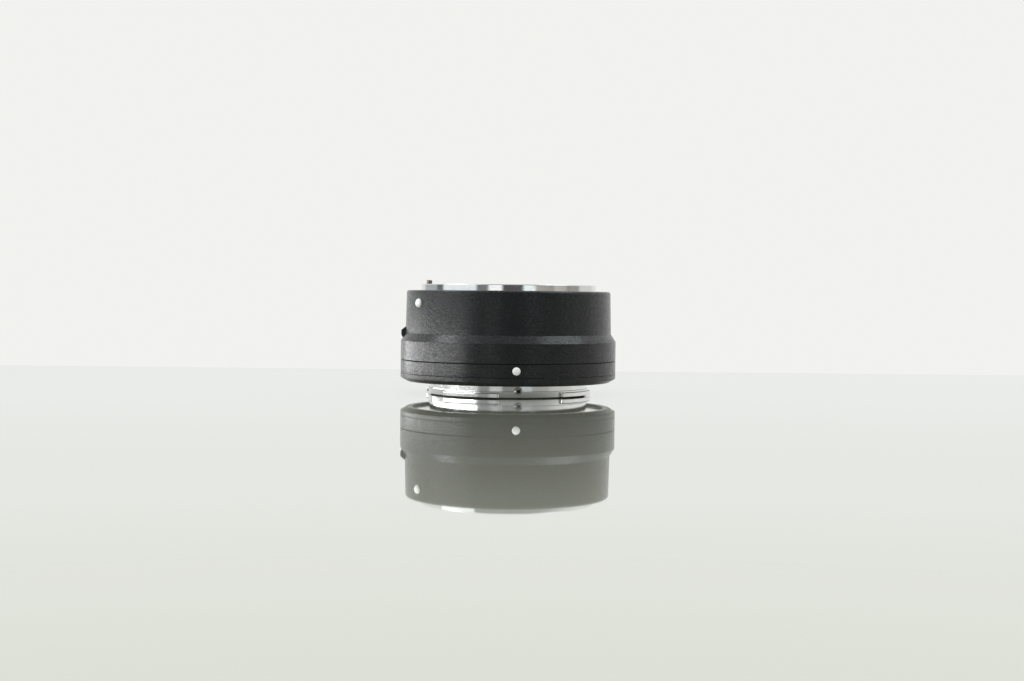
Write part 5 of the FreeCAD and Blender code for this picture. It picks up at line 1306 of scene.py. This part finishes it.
def build_dots(context):
    sizes = context.scene.adapter_sizes
    band_r = sizes.band_radius / MM
    for name, node, radius, crown, surface_r, theta, z in (
            ("lens_dot_enamel", "lens_index_dot", sizes.lens_dot_radius / MM, LENS_DOT_CROWN,
             barrel_radius(LENS_DOT_Z), LENS_DOT_THETA, LENS_DOT_Z),
            ("camera_dot_enamel", "camera_index_dot", sizes.camera_dot_radius / MM, CAMERA_DOT_CROWN,
             band_r, CAMERA_DOT_THETA, CAMERA_DOT_Z)):
        outline = [(0, -DOT_RECESS), (radius, -DOT_RECESS), (radius, 0)]
        for step in range(1, DOT_STEPS + 1):
            angle = step / DOT_STEPS * math.pi / 2
            outline.append((radius * math.cos(angle), crown * math.sin(angle)))
        form = lathe(outline, columns=ROUND_COLUMNS)
        form.transform(outward(surface_r, theta, z))
        handed_over(context, as_piece(name, form), "housing", node)


def dress_carried_nodes(context):
    """Gives each CAD node that is still shown its finish."""
    for node, piece in frame["nodes"].items():
        if piece.hide_render:
            continue
        material = finish(context, SLOT_OF[node])
        if not piece.material_slots:
            piece.data.materials.append(material)
        for place in piece.material_slots:
            place.material = material


# Stage

def build_floor(context):
    colours = context.scene.adapter_colours
    form = bmesh.new()
    corners = ((-FLOOR_SIDE, FLOOR_FRONT), (FLOOR_SIDE, FLOOR_FRONT),
               (FLOOR_SIDE, FLOOR_BACK), (-FLOOR_SIDE, FLOOR_BACK))
    form.faces.new([form.verts.new((x, y, 0.0)) for x, y in corners])
    floor = as_piece("floor", form)
    material = bpy.data.materials.new("table_top")
    material.use_nodes = True
    make = Shading(material.node_tree, "ShaderNodeOutputMaterial")
    make.surface(Base_Color=colours.floor, Roughness=0.02, IOR=1.5, Coat_Weight=1.0, Coat_Roughness=0.02)
    floor.data.materials.append(material)


def build_world(context):
    """Pale wall for the camera, and a soft room that is darker on the camera's side for all else."""
    colours = context.scene.adapter_colours
    world = bpy.data.worlds.new("studio")
    context.scene.world = world
    world.use_nodes = True
    make = Shading(world.node_tree, "ShaderNodeOutputWorld")
    x, y, z = make.split(make.add("ShaderNodeTexCoord", output="Generated"))
    turn = x.math("ARCTAN2", x, y * -1.0) / (2 * math.pi) + 0.5
    stops = [((azimuth + FULL_TURN / 2) / FULL_TURN, toned(tint, level)) for azimuth, level, tint in ROOM]
    room = make.add("ShaderNodeValToRGB", {"stops": stops}, {0: turn})
    dome = make.mix(make.ramp(y * -1.0, -0.20, 0.90), (0.85, 0.86, 0.845), (0.27, 0.28, 0.285))
    dome = make.mix(make.ramp(z, 0.45, 0.90), dome, (0.62, 0.66, 0.68))
    shade = make.mix(make.near(z, 0.0, 0.035, 0.035), dome, room)
    seen = make.add("ShaderNodeLightPath", output="Is Camera Ray")
    make.close(make.add("ShaderNodeBackground", None, {"Color": make.mix(seen, shade, colours.wall), "Strength": 1.0}))


def add_lamp(name, place, target, size, level, tint):
    """Rectangle of light whose brightness is level times that of white paper."""
    data = bpy.data.lights.new(name, "AREA")
    data.shape = "RECTANGLE"
    data.size, data.size_y = size
    data.energy = level * math.pi * size[0] * size[1]
    data.color = tint
    lamp = bpy.data.objects.new(name, data)
    lamp.location = place
    lamp.rotation_euler = (Vector(target) - Vector(place)).to_track_quat("-Z", "Y").to_euler()
    lamp.visible_camera = False
    bpy.context.scene.collection.objects.link(lamp)
    return lamp


def build_lamps():
    spared = bpy.data.collections.new("floor_spared_by_windows")
    spared.objects.link(bpy.data.objects["floor"])
    spared.collection_objects[0].light_linking.link_state = "EXCLUDE"
    for row in WINDOWS:
        add_lamp(*row).light_linking.receiver_collection = spared
    for row in FILLS:
        add_lamp(*row).visible_glossy = False


def build_camera(context):
    data = bpy.data.cameras.new("camera")
    data.sensor_width = SENSOR_WIDTH
    data.lens = FOCAL_PIXELS * SENSOR_WIDTH / PICTURE_WIDTH
    data.clip_start = 0.01
    camera = bpy.data.objects.new("camera", data)
    camera.matrix_world = (Matrix.Translation([value * MM for value in CAMERA_PLACE])
                           @ Matrix.Rotation(math.pi / 2 - CAMERA_TILT, 4, "X")
                           @ Matrix.Rotation(CAMERA_ROLL, 4, "Z"))
    context.scene.collection.objects.link(camera)
    context.scene.camera = camera
    context.scene.view_settings.view_transform = "Standard"


def build_stage(context):
    build_floor(context)
    build_world(context)
    build_lamps()
    build_camera(context)


# Operators and panel

class PieceOperator:
    """What the operators share: each runs the builder of its own pieces."""

    bl_options = {"REGISTER", "UNDO"}

    def execute(self, context):
        self.build(context)
        return {"FINISHED"}


class ADAPTER_OT_front_barrel(PieceOperator, bpy.types.Operator):
    """Builds the upper barrel with its shoulder, knob pocket and dot recess"""
    bl_idname = "adapter.front_barrel"
    bl_label = "Front barrel"
    build = staticmethod(build_front_barrel)


class ADAPTER_OT_rear_barrel(PieceOperator, bpy.types.Operator):
    """Builds the lower half of the wide band"""
    bl_idname = "adapter.rear_barrel"
    bl_label = "Rear barrel"
    build = staticmethod(build_rear_barrel)


class ADAPTER_OT_trim_ring(PieceOperator, bpy.types.Operator):
    """Builds the sloped ring round the camera flange"""
    bl_idname = "adapter.trim_ring"
    bl_label = "Trim ring"
    build = staticmethod(build_trim_ring)


class ADAPTER_OT_lens_ring(PieceOperator, bpy.types.Operator):
    """Builds the polished ring that takes the lens"""
    bl_idname = "adapter.lens_ring"
    bl_label = "Lens mount ring"
    build = staticmethod(build_lens_ring)


class ADAPTER_OT_camera_mount(PieceOperator, bpy.types.Operator):
    """Builds the polished bayonet that goes into the camera"""
    bl_idname = "adapter.camera_mount"
    bl_label = "Camera mount"
    build = staticmethod(build_camera_mount)


class ADAPTER_OT_mount_screws(PieceOperator, bpy.types.Operator):
    """Builds the screws of both bayonets and the stop screw"""
    bl_idname = "adapter.mount_screws"
    bl_label = "Mount screws"
    build = staticmethod(build_mount_screws)


class ADAPTER_OT_release(PieceOperator, bpy.types.Operator):
    """Builds the release knob and the lock pin that it draws down"""
    bl_idname = "adapter.release"
    bl_label = "Release knob and pin"
    build = staticmethod(build_release)


class ADAPTER_OT_sleeve(PieceOperator, bpy.types.Operator):
    """Builds the ribbed throat"""
    bl_idname = "adapter.sleeve"
    bl_label = "Throat sleeve"
    build = staticmethod(build_sleeve)


class ADAPTER_OT_contacts(PieceOperator, bpy.types.Operator):
    """Builds both contact blocks with their pins and pads"""
    bl_idname = "adapter.contacts"
    bl_label = "Contacts"
    build = staticmethod(build_contacts)


class ADAPTER_OT_springs(PieceOperator, bpy.types.Operator):
    """Builds the coil springs of the release and the lens side contacts"""
    bl_idname = "adapter.springs"
    bl_label = "Coil springs"
    build = staticmethod(build_springs)


class ADAPTER_OT_lever(PieceOperator, bpy.types.Operator):
    """Builds the aperture lever"""
    bl_idname = "adapter.lever"
    bl_label = "Aperture lever"
    build = staticmethod(build_lever)


class ADAPTER_OT_dots(PieceOperator, bpy.types.Operator):
    """Builds the two white index dots"""
    bl_idname = "adapter.dots"
    bl_label = "Index dots"
    build = staticmethod(build_dots)


class ADAPTER_OT_carried_nodes(PieceOperator, bpy.types.Operator):
    """Gives the frame's remaining nodes their materials"""
    bl_idname = "adapter.carried_nodes"
    bl_label = "Carried nodes"
    build = staticmethod(dress_carried_nodes)


class ADAPTER_OT_stage(PieceOperator, bpy.types.Operator):
    """Builds the floor, world, lamps and camera"""
    bl_idname = "adapter.stage"
    bl_label = "Stage"
    build = staticmethod(build_stage)


# In the order in which they stand above
OPERATORS = tuple(PieceOperator.__subclasses__())


class ADAPTER_PT_panel(bpy.types.Panel):
    """Sidebar panel with the sizes, the colours and a button for each operator"""
    bl_idname = "ADAPTER_PT_panel"
    bl_label = "Lens mount adapter"
    bl_space_type = "VIEW_3D"
    bl_region_type = "UI"
    bl_category = "Adapter"

    def draw(self, context):
        for group in (context.scene.adapter_sizes, context.scene.adapter_colours):
            box = self.layout.box()
            for name in group.__annotations__:
                box.prop(group, name)
        for operator in OPERATORS:
            self.layout.operator(operator.bl_idname)


CLASSES = (AdapterSizes, AdapterColours) + OPERATORS + (ADAPTER_PT_panel,)


def register():
    for item in CLASSES:
        bpy.utils.register_class(item)
    bpy.types.Scene.adapter_sizes = PointerProperty(type=AdapterSizes)
    bpy.types.Scene.adapter_colours = PointerProperty(type=AdapterColours)


def unregister():
    del bpy.types.Scene.adapter_colours
    del bpy.types.Scene.adapter_sizes
    for item in reversed(CLASSES):
        bpy.utils.unregister_class(item)


def main():
    register()
    for operator in OPERATORS:
        group, name = operator.bl_idname.split(".")
        getattr(getattr(bpy.ops, group), name)()


if __name__ == "__main__":
    main()
